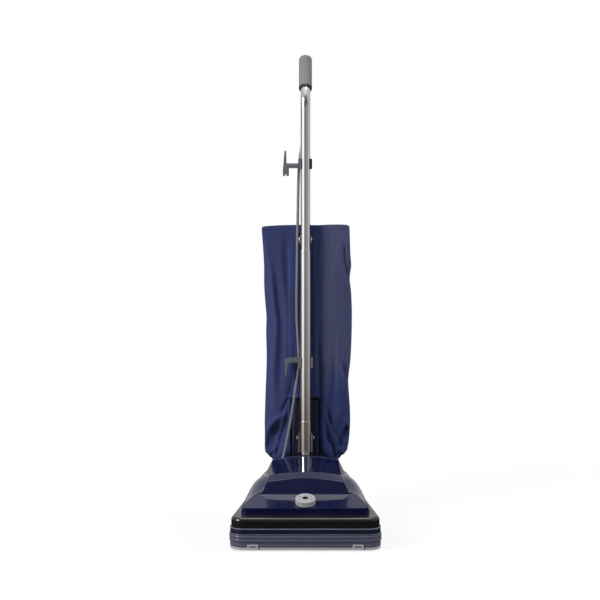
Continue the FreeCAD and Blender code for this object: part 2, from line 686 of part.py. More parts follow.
def height_knob():
    """The dial: a ribbed rim, a raised ring of dots and a socket in the middle."""
    low = 0.8
    knob = upright(low, KNOB_HEIGHT, 0, 0, KNOB_R)
    knob = knob.makeFillet(2.0, [e for e in knob.Edges if e.BoundBox.ZMin > KNOB_HEIGHT - 0.01])
    for i in range(KNOB_GRIPS):
        angle = math.radians(360 * i / KNOB_GRIPS)
        x = (KNOB_R + 0.4) * math.cos(angle)
        y = (KNOB_R + 0.4) * math.sin(angle)
        knob = knob.cut(upright(low + 2, KNOB_HEIGHT - 3, x, y, 1.1))
    knob = knob.cut(upright(KNOB_HEIGHT - 4, KNOB_HEIGHT + 1, 0, 0, KNOB_RECESS_R))
    for i in range(CAM_STEPS):
        angle = math.radians(360 * i / CAM_STEPS + 30)
        x = 14 * math.cos(angle)
        y = 14 * math.sin(angle)
        knob = knob.cut(upright(KNOB_HEIGHT - 2.0, KNOB_HEIGHT + 1, x, y, 1.7))
    return tilted_with_shelf(knob)


def follower_depth(swing):
    """How far the follower's top lies below the shelf, along the knob's axis, at a carriage angle."""
    angle = math.radians(swing)
    y = LEVER_TIP_Y - CARRIAGE_Y
    z = FOLLOWER_TOP_Z - CARRIAGE_Z
    tip = V(0, CARRIAGE_Y + y * math.cos(angle) - z * math.sin(angle),
            CARRIAGE_Z + y * math.sin(angle) + z * math.cos(angle))
    return -(tip - KNOB_POINT).dot(KNOB_AXIS)


def knob_cam():
    """The spindle with its cam disc, whose stepped underside presses the carriage down."""
    base = CAM_DEPTH + CAM_THICK
    disc = on_knob_axis(-base, -CAM_DEPTH, CAM_R)
    spindle = on_knob_axis(-CAM_DEPTH, 0.8, SPINDLE_R)
    cam = disc.fuse(spindle)
    for i in range(1, CAM_STEPS + 1):
        entry = (i - 0.5) / CAM_STEPS * CARRIAGE_SWING
        height = follower_depth(entry) - CAM_GAP - base
        sector = Part.makeCylinder(CAM_R, height + 0.5, V(0, 0, 0), V(0, 0, 1), CAM_STEP_ANGLE)
        sector.rotate(V(0, 0, 0), V(0, 0, 1), 90 - CAM_STEP_ANGLE * (i + 0.5))
        sector.translate(V(0, 0, -base - height))
        cam = cam.fuse(tilted_with_shelf(sector))
    return cam.removeSplitter()


def wheel_carriage():
    """The rocking frame of the front wheels, with its levers up to the cam."""
    x0 = CARRIAGE_ARM_X
    reach = CARRIAGE_ARM_X + CARRIAGE_ARM_THICK
    bar = across(-reach, reach, CARRIAGE_Y, CARRIAGE_Z, CARRIAGE_BAR_R)
    arm = web(x0, CARRIAGE_ARM_THICK, CARRIAGE_Y, CARRIAGE_Z, FRONT_WHEEL_Y, FRONT_WHEEL_R, 5.0)
    lever = web(x0, CARRIAGE_ARM_THICK, LEVER_FOOT_Y, FRONT_WHEEL_R + 2, LEVER_TIP_Y, LEVER_BAR_Z + 1, 3.4)
    top = box(-reach, reach, LEVER_TIP_Y - 2.5, LEVER_TIP_Y + 2.5, LEVER_BAR_Z, LEVER_BAR_Z + LEVER_BAR)
    follower = box(-FOLLOWER_HALF, FOLLOWER_HALF, LEVER_TIP_Y - 1.5, LEVER_TIP_Y + 1.5,
                   LEVER_BAR_Z + 1, FOLLOWER_TOP_Z)
    frame = fuse(bar, arm, mirrored(arm), lever, mirrored(lever), top, follower)
    hole = across(-reach - 1, reach + 1, CARRIAGE_Y, CARRIAGE_Z, CARRIAGE_ROD_R + RUNNING_GAP)
    axle = across(-reach - 1, reach + 1, FRONT_WHEEL_Y, FRONT_WHEEL_R, FRONT_AXLE_R)
    return cut(frame, hole, axle)


def web(x, thick, y0, z0, y1, z1, radius):
    """A flat arm square to X with round ends, from one point to another."""
    way = V(0, y1 - y0, z1 - z0)
    side = V(0, -way.z, way.y).normalize() * radius
    a = V(x, y0, z0)
    b = V(x, y1, z1)
    loop = Part.makePolygon([a + side, b + side, b - side, a - side, a + side])
    flat = Part.Face(loop).extrude(V(thick, 0, 0))
    return fuse(flat, across(x, x + thick, y0, z0, radius), across(x, x + thick, y1, z1, radius))


def front_wheel():
    """One small front wheel, on the right."""
    x = CARRIAGE_ARM_X + CARRIAGE_ARM_THICK + 1
    wheel = across(x, x + FRONT_WHEEL_WIDTH, FRONT_WHEEL_Y, FRONT_WHEEL_R, FRONT_WHEEL_R)
    wheel = wheel.makeFillet(1.5, [e for e in wheel.Edges if e.Length > 2 * FRONT_WHEEL_R])
    bore = across(x - 1, x + FRONT_WHEEL_WIDTH + 1, FRONT_WHEEL_Y, FRONT_WHEEL_R, FRONT_AXLE_R + RUNNING_GAP)
    return wheel.cut(bore)


def rear_wheel():
    """One rear wheel, on the right: a hub dish inside a rounded tread."""
    x0 = REAR_WHEEL_X - REAR_WHEEL_WIDTH / 2
    x1 = REAR_WHEEL_X + REAR_WHEEL_WIDTH / 2
    wheel = across(x0, x1, REAR_WHEEL_Y, REAR_WHEEL_R, REAR_WHEEL_R)
    wheel = wheel.makeFillet(2.0, [e for e in wheel.Edges if e.Length > 2 * REAR_WHEEL_R])
    dish = pipe(V(x1 - 4, REAR_WHEEL_Y, REAR_WHEEL_R), V(x1 + 1, REAR_WHEEL_Y, REAR_WHEEL_R),
                REAR_WHEEL_R - TYRE_THICK, REAR_AXLE_R + 4)
    return cut(wheel, dish, across(x0 - 1, x1 + 1, REAR_WHEEL_Y, REAR_WHEEL_R, REAR_AXLE_R + RUNNING_GAP))


def brush_roll():
    """The wooden roll with its belt groove and steel ends."""
    shaft_end = CHAMBER_HALF - 1
    roll = across(-ROLL_HALF_LENGTH, ROLL_HALF_LENGTH, ROLL_Y, ROLL_Z, ROLL_R)
    groove_half = BELT_WIDTH / 2 + 1.5
    groove = pipe(V(-groove_half, ROLL_Y, ROLL_Z), V(groove_half, ROLL_Y, ROLL_Z), ROLL_R + 5,
                  ROLL_R - BELT_GROOVE_DEPTH)
    return roll.cut(groove).fuse(across(-shaft_end, shaft_end, ROLL_Y, ROLL_Z, ROLL_SHAFT_R)).removeSplitter()


def bristle_tufts():
    """Two twisted rows of tufts on the roll, each seated on its surface."""
    tufts = []
    for row in range(2):
        for side in (-1, 1):
            for i in range(TUFTS_PER_ROW // 2):
                x = side * (TUFT_START + i * TUFT_PITCH)
                angle = math.radians(180 * row + side * TUFT_TWIST * i / (TUFTS_PER_ROW / 2 - 1))
                out = V(0, math.cos(angle), math.sin(angle))
                centre = V(x, ROLL_Y, ROLL_Z)
                tufts.append(rod(centre + out * (ROLL_R + 0.02), centre + out * TUFT_TIP_R, TUFT_R))
    return group(tufts)


def brush_end_caps():
    """The bearing blocks at the ends of the roll, seated in the chamber."""
    x1 = CHAMBER_HALF - 0.1
    x0 = x1 - END_CAP_THICK
    block = across(x0, x1, ROLL_Y, ROLL_Z, CHAMBER_R - 0.2)
    block = block.cut(box(x0 - 1, x1 + 1, ROLL_Y - 40, ROLL_Y + 40, -20, PLATE_BOTTOM_Z + PLATE_THICK + 0.2))
    return both_sides(block.cut(across(x0 - 1, x1 + 1, ROLL_Y, ROLL_Z, ROLL_SHAFT_R + RUNNING_GAP)))


def drive_belt():
    """The flat belt, turned a quarter between the motor's pulley and the roll."""
    pulley = V(0, PULLEY_Y, SHAFT_Z)
    roll = V(0, ROLL_Y, ROLL_Z)
    way = (roll - pulley).normalize()
    up = V(0, way.z, -way.y)
    half = BELT_WIDTH / 2
    pulley_in = PULLEY_R + BELT_GAP
    roll_in = ROLL_R - BELT_GROOVE_DEPTH + BELT_GAP
    round_pulley = pipe(pulley - V(0, half, 0), pulley + V(0, half, 0), pulley_in + BELT_THICK, pulley_in)
    round_pulley = round_pulley.cut(box(-30, 30, PULLEY_Y - 20, PULLEY_Y + 20, 0, SHAFT_Z))
    round_roll = pipe(roll - V(half, 0, 0), roll + V(half, 0, 0), roll_in + BELT_THICK, roll_in)
    near_side = Part.makeBox(60, 80, 80, V(-30, -40, 0))
    near_side.rotate(V(0, 0, 0), V(1, 0, 0), math.degrees(math.atan2(way.y, -way.z)))
    near_side.translate(roll)
    round_roll = round_roll.cut(near_side)
    belt = round_pulley.fuse(round_roll)
    for side in (-1, 1):
        x_in = side * pulley_in
        x_out = side * (pulley_in + BELT_THICK)
        start = [V(x_in, PULLEY_Y + half, SHAFT_Z), V(x_out, PULLEY_Y + half, SHAFT_Z),
                 V(x_out, PULLEY_Y - half, SHAFT_Z), V(x_in, PULLEY_Y - half, SHAFT_Z)]
        low = roll + up * (side * roll_in)
        high = roll + up * (side * (roll_in + BELT_THICK))
        end = [low + V(half, 0, 0), high + V(half, 0, 0), high - V(half, 0, 0), low - V(half, 0, 0)]
        loops = [Part.makePolygon(corners + corners[:1]) for corners in (start, end)]
        belt = belt.fuse(Part.makeLoft(loops, True, True))
    return belt


def intake_throat():
    """The box between the brush chamber and the fan's eye, round the belt."""
    front = ROLL_Y + CHAMBER_R + BASE_WALL + SEAT_GAP
    rear = FAN_HOUSING_FRONT_Y - SEAT_GAP
    low_front = ROLL_Z - 4
    outline = [V(0, front, low_front), V(0, front, ROLL_Z + 36), V(0, PULLEY_Y - 22, SHAFT_Z - 5),
               V(0, -73, SHAFT_Z + 13), V(0, -69, SHAFT_Z + FAN_EYE_R + 2), V(0, rear, SHAFT_Z + FAN_EYE_R + 2),
               V(0, rear, SHAFT_Z - FAN_EYE_R - 2), V(0, PULLEY_Y - 7, SHAFT_Z - 40)]
    outer = Part.Face(Part.makePolygon(outline + outline[:1])).extrude(V(2 * THROAT_HALF, 0, 0))
    outer.translate(V(-THROAT_HALF, 0, 0))
    side = THROAT_HALF - THROAT_WALL
    shifts = [V(0, -1, THROAT_WALL), V(0, -1, -THROAT_WALL), V(0, 0.5, -THROAT_WALL), V(0, 1.5, -THROAT_WALL),
              V(0, 1, -THROAT_WALL), V(0, 1, -THROAT_WALL), V(0, 1, THROAT_WALL), V(0, 0, THROAT_WALL)]
    inner_points = [point + shift for point, shift in zip(outline, shifts)]
    inner = Part.Face(Part.makePolygon(inner_points + inner_points[:1])).extrude(V(2 * side, 0, 0))
    inner.translate(V(-side, 0, 0))
    return outer.cut(inner)


def fan_housing():
    """The scroll round the dirt fan, with its eye in front and its outlet at the right."""
    front = FAN_HOUSING_FRONT_Y
    rear = front + FAN_HOUSING_DEPTH
    shell = along(front, rear, 0, SHAFT_Z, FAN_HOUSING_R)
    outlet = box(FAN_R - 6, DUCT_X + DUCT_R, front + 4, rear, DUCT_Z - DUCT_R, DUCT_Z + DUCT_R)
    shell = shell.fuse(outlet)
    hollow = along(front + FAN_WALL, rear - FAN_WALL, 0, SHAFT_Z, FAN_HOUSING_R - FAN_WALL)
    scroll = box(FAN_R - 10, DUCT_X + DUCT_R - FAN_WALL, front + 4 + FAN_WALL, rear - FAN_WALL,
                 DUCT_Z - DUCT_R + FAN_WALL, DUCT_Z + DUCT_R - FAN_WALL)
    eye = along(front - 1, front + FAN_WALL + 1, 0, SHAFT_Z, FAN_EYE_R)
    bearing = along(rear - FAN_WALL - 1, rear + 1, 0, SHAFT_Z, SHAFT_R + 1)
    out = along(rear - FAN_WALL - 1, rear + 1, DUCT_X, DUCT_Z, DUCT_R - DUCT_WALL)
    foot = box(-MOTOR_FOOT_HALF, MOTOR_FOOT_HALF, rear - 5, rear,
               BASE_BOTTOM_Z + FLOOR_WALL + 0.1, SHAFT_Z - 40)
    shell = shell.fuse(foot)
    return cut(shell, hollow, scroll, eye, bearing, out)


def fan_impeller():
    """The dirt fan: a back plate with curved blades on a hub."""
    rear = FAN_HOUSING_FRONT_Y + FAN_HOUSING_DEPTH - FAN_WALL - 2
    front = FAN_HOUSING_FRONT_Y + FAN_WALL + 3
    plate = along(rear - 3, rear, 0, SHAFT_Z, FAN_R)
    hub = along(front + 2, rear, 0, SHAFT_Z, 10)
    wheel = plate.fuse(hub)
    for i in range(FAN_BLADES):
        blade = box(8, FAN_R - 2, front, rear - 2, SHAFT_Z + 2, SHAFT_Z + 4.5)
        blade.rotate(V(0, 0, SHAFT_Z), V(0, 1, 0), 360 * i / FAN_BLADES)
        wheel = wheel.fuse(blade)
    return wheel.cut(along(front - 1, rear + 1, 0, SHAFT_Z, SHAFT_R)).removeSplitter()


def motor_shaft():
    """The shaft with the belt pulley on its front end."""
    rear = rear_bracket_y() + BRACKET_THICK + 1
    shaft = along(SHAFT_FRONT_Y, rear, 0, SHAFT_Z, SHAFT_R)
    pulley = along(PULLEY_Y - PULLEY_LENGTH / 2, PULLEY_Y + PULLEY_LENGTH / 2, 0, SHAFT_Z, PULLEY_R)
    return shaft.fuse(pulley).removeSplitter()


def rear_bracket_y():
    """The front face of the motor's rear bracket."""
    return STATOR_FRONT_Y + STATOR_LENGTH + COMMUTATOR_SPACE + COMMUTATOR_LENGTH + 2


def motor_bearings():
    """The two bearings, with the shaft running in them."""
    rear_y = rear_bracket_y()
    fan_rear = FAN_HOUSING_FRONT_Y + FAN_HOUSING_DEPTH
    bore = SHAFT_R + RUNNING_GAP
    places = [fan_rear + 0.1, rear_y + 0.1]
    return group([pipe(V(0, y, SHAFT_Z), V(0, y + BEARING_WIDTH - 0.2, SHAFT_Z), FRONT_BEARING_R, bore)
                  for y in places])


def armature():
    """The slotted iron core on the shaft."""
    front = STATOR_FRONT_Y + 1
    rear = STATOR_FRONT_Y + STATOR_LENGTH - 1
    core = along(front, rear, 0, SHAFT_Z, ARMATURE_R)
    for i in range(12):
        slot = box(ARMATURE_R - 8, ARMATURE_R + 2, front - 1, rear + 1, SHAFT_Z - 1.2, SHAFT_Z + 1.2)
        slot.rotate(V(0, 0, SHAFT_Z), V(0, 1, 0), 30 * i)
        core = core.cut(slot)
    return core.cut(along(front - 1, rear + 1, 0, SHAFT_Z, SHAFT_R))


def commutator():
    """The copper commutator behind the core."""
    front = STATOR_FRONT_Y + STATOR_LENGTH + COMMUTATOR_SPACE
    rear = front + COMMUTATOR_LENGTH
    ring = pipe(V(0, front, SHAFT_Z), V(0, rear, SHAFT_Z), COMMUTATOR_R, SHAFT_R)
    for i in range(16):
        slit = box(COMMUTATOR_R - 2, COMMUTATOR_R + 1, front - 1, rear + 1, SHAFT_Z - 0.3, SHAFT_Z + 0.3)
        slit.rotate(V(0, 0, SHAFT_Z), V(0, 1, 0), 22.5 * i)
        ring = ring.cut(slit)
    return ring


def motor_stator():
    """The laminated ring with its two poles, on a foot."""
    front = STATOR_FRONT_Y
    rear = front + STATOR_LENGTH
    ring = pipe(V(0, front, SHAFT_Z), V(0, rear, SHAFT_Z), STATOR_R, STATOR_BORE_R)
    pole = pipe(V(0, front, SHAFT_Z), V(0, rear, SHAFT_Z), STATOR_BORE_R + 1, POLE_BORE_R)
    poles = pole.common(box(-20, 20, front, rear, SHAFT_Z - STATOR_R, SHAFT_Z + STATOR_R))
    foot = box(-MOTOR_FOOT_HALF, MOTOR_FOOT_HALF, front, rear, BASE_BOTTOM_Z + FLOOR_WALL + 0.1, SHAFT_Z - 30)
    foot = foot.cut(along(front - 1, rear + 1, 0, SHAFT_Z, STATOR_R - 1))
    return fuse(ring, poles, foot)


def field_coils():
    """The two coils beside the poles, longer than the core at both ends."""
    front = STATOR_FRONT_Y - 4
    rear = STATOR_FRONT_Y + STATOR_LENGTH + 5
    ring = pipe(V(0, front, SHAFT_Z), V(0, rear, SHAFT_Z), STATOR_BORE_R - 0.2, POLE_BORE_R + 1)
    side = ring.common(box(20.3, 60, front, rear, SHAFT_Z - 24, SHAFT_Z + 24))
    return both_sides(side)


def brush_carrier_y():
    """The middle of the carbon brushes along the shaft."""
    return STATOR_FRONT_Y + STATOR_LENGTH + COMMUTATOR_SPACE + COMMUTATOR_LENGTH / 2


def brush_holders():
    """The brass tubes that carry the carbon brushes, fixed to the rear bracket."""
    y = brush_carrier_y()
    x0 = COMMUTATOR_R + 3
    x1 = COMMUTATOR_R + 22
    holder = box(x0, x1, y - 4, y + 4, SHAFT_Z - 4, SHAFT_Z + 4)
    holder = holder.cut(box(x0 - 1, x1 - 2, y - 2.6, y + 2.6, SHAFT_Z - 2.6, SHAFT_Z + 2.6))
    lug = box(x0 + 4, x0 + 12, y + 3, rear_bracket_y() - 0.1, SHAFT_Z - 4, SHAFT_Z + 4)
    lug = lug.cut(box(x0, x1, y - 2.6, y + 2.6, SHAFT_Z - 2.6, SHAFT_Z + 2.6))
    return both_sides(holder.fuse(lug))


def carbon_brushes():
    """The two carbon blocks beside the commutator."""
    y = brush_carrier_y()
    block = box(COMMUTATOR_R + SEAT_GAP, COMMUTATOR_R + 16, y - 2.4, y + 2.4, SHAFT_Z - 2.4, SHAFT_Z + 2.4)
    return both_sides(block)


def motor_bracket():
    """The rear bearing bracket on its foot."""
    y0 = rear_bracket_y()
    y1 = y0 + BRACKET_THICK
    plate = box(-MOTOR_FOOT_HALF, MOTOR_FOOT_HALF, y0, y1, BASE_BOTTOM_Z + FLOOR_WALL + 0.1, SHAFT_Z)
    plate = plate.fuse(along(y0, y1, 0, SHAFT_Z, MOTOR_FOOT_HALF))
    return plate.cut(along(y0 - 1, y1 + 1, 0, SHAFT_Z, FRONT_BEARING_R + 0.05))


def swept(points, radius, bend):
    """A round bar along straight runs joined by arcs of one radius."""
    edges = route_edges(points, [bend] * (len(points) - 2))
    path = Part.Wire(edges)
    start = points[0]
    circle = Part.Wire([Part.makeCircle(radius, start, points[1] - points[0])])
    return path.makePipeShell([circle], True, False)


def route_edges(points, radii):
    """Straight runs and tangent arcs along a route, with a radius for each inner point."""
    edges = []
    last = points[0]
    for i in range(1, len(points) - 1):
        here = points[i]
        back = (points[i - 1] - here).normalize()
        ahead = (points[i + 1] - here).normalize()
        half_turn = (math.pi - back.getAngle(ahead)) / 2
        reach = radii[i - 1] * math.tan(half_turn)
        start = here + back * reach
        end = here + ahead * reach
        inward = (back + ahead).normalize()
        middle = here + inward * (radii[i - 1] / math.cos(half_turn) - radii[i - 1])
        if (start - last).Length > 1e-6:
            edges.append(Part.LineSegment(last, start).toShape())
        edges.append(Part.Arc(start, middle, end).toShape())
        last = end
    edges.append(Part.LineSegment(last, points[-1]).toShape())
    return edges


def duct_points(extra):
    """The line of the exhaust duct, run on by extra at both ends."""
    start = FAN_HOUSING_FRONT_Y + FAN_HOUSING_DEPTH + 0.1
    return [V(DUCT_X, start - extra, DUCT_Z), V(DUCT_X, DUCT_CROSS_Y, DUCT_Z), V(0, DUCT_CROSS_Y, DUCT_Z - 2),
            V(0, DUCT_EXIT_Y, DUCT_Z), V(0, DUCT_EXIT_Y, DUCT_TOP_Z + extra)]


def exhaust_duct():
    """The air duct from the scroll, round the motor and up through the rear deck."""
    bend = DUCT_R + 0.8
    outer = swept(duct_points(0), DUCT_R - 0.2, bend)
    inner = swept(duct_points(0.5), DUCT_R - DUCT_WALL, bend)
    return outer.cut(inner)


def oblong(cx, cy, z, half_x, half_y, corner):
    """A closed wire: a rectangle with round corners."""
    return rounded_loop([(cx + half_x, cy - half_y, corner), (cx + half_x, cy + half_y, corner),
                         (cx - half_x, cy + half_y, corner), (cx - half_x, cy - half_y, corner)], z)


def flexible_neck():
    """The rubber neck from the duct's top to the fill tube, which bends with the handle."""
    fill_y = FILL_FRONT_Y + FILL_DEPTH / 2
    low = DUCT_TOP_Z + 0.1
    mid = (DUCT_TOP_Z + NECK_TOP_Z) / 2
    high = NECK_TOP_Z - 0.1
    loops = []
    for wall in (0, NECK_WALL):
        loops.append([
            oblong(0, DUCT_EXIT_Y, low, DUCT_R - wall, DUCT_R - wall, DUCT_R - wall - 0.5),
            oblong(0, (DUCT_EXIT_Y + fill_y) / 2, mid, DUCT_R + 3 - wall, DUCT_R - 3 - wall, DUCT_R - 4 - wall),
            oblong(0, fill_y, high, FILL_HALF - 1 - wall, FILL_DEPTH / 2 - wall, 6 - wall),
        ])
    outer, inner = [Part.makeLoft(each, True, True) for each in loops]
    return outer.cut(inner)


def fill_tube():
    """The flat duct behind the handle tube that feeds the bag through a round spigot."""
    y0 = FILL_FRONT_Y
    y1 = FILL_FRONT_Y + FILL_DEPTH
    yc = (y0 + y1) / 2
    body = slab(oblong(0, yc, NECK_TOP_Z, FILL_HALF, FILL_DEPTH / 2, 5), FILL_TOP_Z - NECK_TOP_Z)
    hollow = slab(oblong(0, yc, NECK_TOP_Z - 1, FILL_HALF - FILL_WALL, FILL_DEPTH / 2 - FILL_WALL, 3),
                  FILL_TOP_Z - NECK_TOP_Z - FILL_WALL + 1)
    body = body.cut(hollow)
    spigot = along(y1 - 1, y1 + SPIGOT_LENGTH, 0, SPIGOT_Z, SPIGOT_R)
    bore = along(y1 - FILL_WALL - 1, y1 + SPIGOT_LENGTH + 1, 0, SPIGOT_Z, SPIGOT_R - FILL_WALL)
    cheek_x = LOWER_TUBE_R + SEAT_GAP + SOCKET_CHEEK + 0.1
    lug = box(cheek_x, cheek_x + 2.0, TUBE_Y - 6, y0 + 1, LOWER_BOLT_Z - 8, LOWER_BOLT_Z + 8)
    lug = lug.cut(across(cheek_x - 1, cheek_x + 4, TUBE_Y, LOWER_BOLT_Z, BOLT_R + 0.1))
    return fuse(body, spigot, lug, mirrored(lug)).cut(bore)


def handle_fork():
    """The steel fork: a socket round the tube's foot, a bar and two arms to the pivot."""
    outer = FORK_HALF + FORK_ARM
    rear = FORK_FRONT_Y + FORK_DEPTH
    bar = box(-outer, outer, FORK_FRONT_Y, rear, FORK_BAR_Z, FORK_BAR_Z + FORK_BAR_HEIGHT)
    arm = box(FORK_HALF, outer, FORK_FRONT_Y, rear, PIVOT_Z, FORK_BAR_Z + 1)
    arm = arm.fuse(across(FORK_HALF, outer, PIVOT_Y, PIVOT_Z, FORK_EYE_R))
    arm = arm.cut(across(FORK_HALF - 1, outer + 1, PIVOT_Y, PIVOT_Z, PIVOT_R + RUNNING_GAP))
    cheek_in = LOWER_TUBE_R + SEAT_GAP
    back = box(-cheek_in - 1, cheek_in + 1, rear + 4.6, FILL_FRONT_Y - SEAT_GAP, FORK_BAR_Z, SOCKET_TOP_Z)
    cheek = box(cheek_in, cheek_in + SOCKET_CHEEK, FORK_FRONT_Y, FILL_FRONT_Y - SEAT_GAP,
                FORK_BAR_Z, SOCKET_TOP_Z)
    cheek = cheek.cut(across(cheek_in - 1, cheek_in + 9, TUBE_Y, LOWER_BOLT_Z, BOLT_R + 0.1))
    fork = fuse(bar, arm, mirrored(arm), cheek, mirrored(cheek), back)
    return fork.cut(upright(TUBE_FOOT_Z - 0.1, SOCKET_TOP_Z + 10, 0, TUBE_Y, LOWER_TUBE_R + 0.1))


def pivot_pins():
    """The two pins that the fork turns on, fixed in the ears."""
    x0 = FORK_HALF - 1
    x1 = FORK_HALF + FORK_ARM + SEAT_GAP + 0.2 + EAR_THICK
    pin = across(x0, x1, PIVOT_Y, PIVOT_Z, PIVOT_R)
    head = across(x1 + 0.1, x1 + 2.5, PIVOT_Y, PIVOT_Z, PIVOT_R + 2)
    return both_sides(pin.fuse(across(x1 - 0.1, x1 + 0.2, PIVOT_Y, PIVOT_Z, PIVOT_R)).fuse(head))


def tube_section(foot, top, radius):
    """A straight steel tube."""
    return pipe(V(0, TUBE_Y, foot), V(0, TUBE_Y, top), radius, radius - TUBE_WALL)


def bolt_hole(z):
    """The hole across a tube for a bolt."""
    return across(-30, 30, TUBE_Y, z, BOLT_R + 0.1)


def lower_tube():
    """The lowest handle tube, in the socket of the fork."""
    return tube_section(TUBE_FOOT_Z, LOWER_JOINT_Z, LOWER_TUBE_R).cut(bolt_hole(LOWER_BOLT_Z))


def middle_tube():
    """The middle tube, with its drawn-in foot inside the lower one."""
    foot_r = LOWER_TUBE_R - TUBE_WALL - 0.05
    top = UPPER_JOINT_Z
    outer = upright(LOWER_JOINT_Z + 0.1, top, 0, TUBE_Y, MIDDLE_TUBE_R)
    foot = upright(LOWER_JOINT_Z - TUBE_LAP, LOWER_JOINT_Z + 1, 0, TUBE_Y, foot_r)
    bore = upright(LOWER_JOINT_Z - TUBE_LAP - 1, top + 1, 0, TUBE_Y, MIDDLE_TUBE_R - TUBE_WALL)
    return outer.fuse(foot).cut(bore).cut(bolt_hole(LOWER_BOLT_Z))


def upper_tube():
    """The upper tube: its foot inside the middle one, its top bent back under the grip."""
    foot_r = MIDDLE_TUBE_R - TUBE_WALL - 0.05
    foot_z = UPPER_JOINT_Z - TUBE_LAP
    outer = swept([V(0, TUBE_Y, UPPER_JOINT_Z + 0.1), GRIP_CORNER, TUBE_END], UPPER_TUBE_R, GRIP_BEND_R)
    foot = upright(foot_z, UPPER_JOINT_Z + 1, 0, TUBE_Y, foot_r)
    line = [V(0, TUBE_Y, foot_z - 1), GRIP_CORNER, TUBE_END + GRIP_AXIS]
    bore = swept(line, UPPER_TUBE_R - TUBE_WALL, GRIP_BEND_R)
    return cut(outer.fuse(foot), bore, bolt_hole(UPPER_BOLT_Z), hook_bolt_hole(UPPER_HOOK_Z))


def hook_bolt_hole(z):
    """The hole across the tube for the upper hook's bolt."""
    return across(-30, 30, TUBE_Y, z, BOLT_R + 0.1)


def joint_bolts():
    """The two bolts across the tube, each with a head and a nut."""
    solids = []
    lower_side = LOWER_TUBE_R + SEAT_GAP + SOCKET_CHEEK + 2.3
    upper_side = UPPER_TUBE_R + 2.0
    for z, side in ((LOWER_BOLT_Z, lower_side), (UPPER_BOLT_Z, upper_side)):
        shank = across(-side - 0.1, side + 0.1, TUBE_Y, z, BOLT_R)
        head = across(side, side + BOLT_HEAD, TUBE_Y, z, BOLT_HEAD_R)
        solids.append(fuse(shank, head, mirrored(head)))
    return group(solids)


def grip_shape(outer, start, end, rounded):
    """A round piece on the grip's line, from start to end past the bend."""
    body = Part.makeCylinder(outer, end - start, GRIP_CORNER + GRIP_AXIS * start, GRIP_AXIS)
    if rounded:
        far = GRIP_CORNER + GRIP_AXIS * end
        edges = [e for e in body.Edges if e.Closed and (e.CenterOfMass - far).Length < 1]
        body = body.makeFillet(rounded, edges)
    return body


def grip():
    """The soft grip, closed at its end."""
    start = GRIP_START + GRIP_RING + 0.1
    end = GRIP_START + GRIP_LENGTH
    body = grip_shape(GRIP_R, start, end, 5.0)
    body = body.makeFillet(1.0, [e for e in body.Edges if e.Closed
                                 and (e.CenterOfMass - (GRIP_CORNER + GRIP_AXIS * start)).Length < 1])
    return body.cut(grip_shape(UPPER_TUBE_R + 0.05, start - 1, end - GRIP_WALL, 0))


def grip_ring():
    """The dark ring at the grip's lower end."""
    ring = grip_shape(GRIP_R - 0.4, GRIP_START, GRIP_START + GRIP_RING, 0)
    return ring.cut(grip_shape(UPPER_TUBE_R + 0.05, GRIP_START - 1, GRIP_START + GRIP_RING + 1, 0))


def hook_clamp(z, low, high, tube_r):
    """The clamp round the tube that carries a cord hook, with its cap at the right."""
    ring = pipe(V(0, TUBE_Y, z - low), V(0, TUBE_Y, z + high), tube_r + 2.2, tube_r + 0.05)
    front_open = box(-tube_r + 2, tube_r - 2, TUBE_Y - 30, TUBE_Y, z - low - 1, z + high + 1)
    rear_open = box(-tube_r + 5, tube_r - 5, TUBE_Y, TUBE_Y + 30, z - low - 1, z + high + 1)
    left = ring.cut(front_open).cut(rear_open).common(box(-40, 0, 0, 200, 0, 2000))
    pad = box(-tube_r - 5.0, -tube_r - 1.0, TUBE_Y - 6, TUBE_Y + 6, z - low, z + high)
    return left.fuse(pad.cut(upright(z - low - 1, z + high + 1, 0, TUBE_Y, tube_r + 1)))


def upper_hook_base():
    """The fixed part of the upper hook: a plate at the left, a cap at the right and the pin, below their middle."""
    z = UPPER_HOOK_Z + UPPER_HOOK_DROP
    half = HOOK_CLAMP_HALF
    left = hook_clamp(z, half, half, UPPER_TUBE_R)
    cap = box(UPPER_TUBE_R - 2, UPPER_TUBE_R + HOOK_CAP, TUBE_Y - 7, TUBE_Y + 7, z - half, z + half)
    cap = cap.makeFillet(1.5, [e for e in cap.Edges if abs(e.CenterOfMass.x - UPPER_TUBE_R - HOOK_CAP) < 0.01])
    cap = cap.cut(upright(z - half - 1, z + half + 1, 0, TUBE_Y, UPPER_TUBE_R + 0.1))
    pin = across(-UPPER_TUBE_R - HOOK_STEM_LENGTH + 8, UPPER_TUBE_R + HOOK_CAP - 1, TUBE_Y, UPPER_HOOK_Z, BOLT_R)
    return fuse(left, cap, pin)


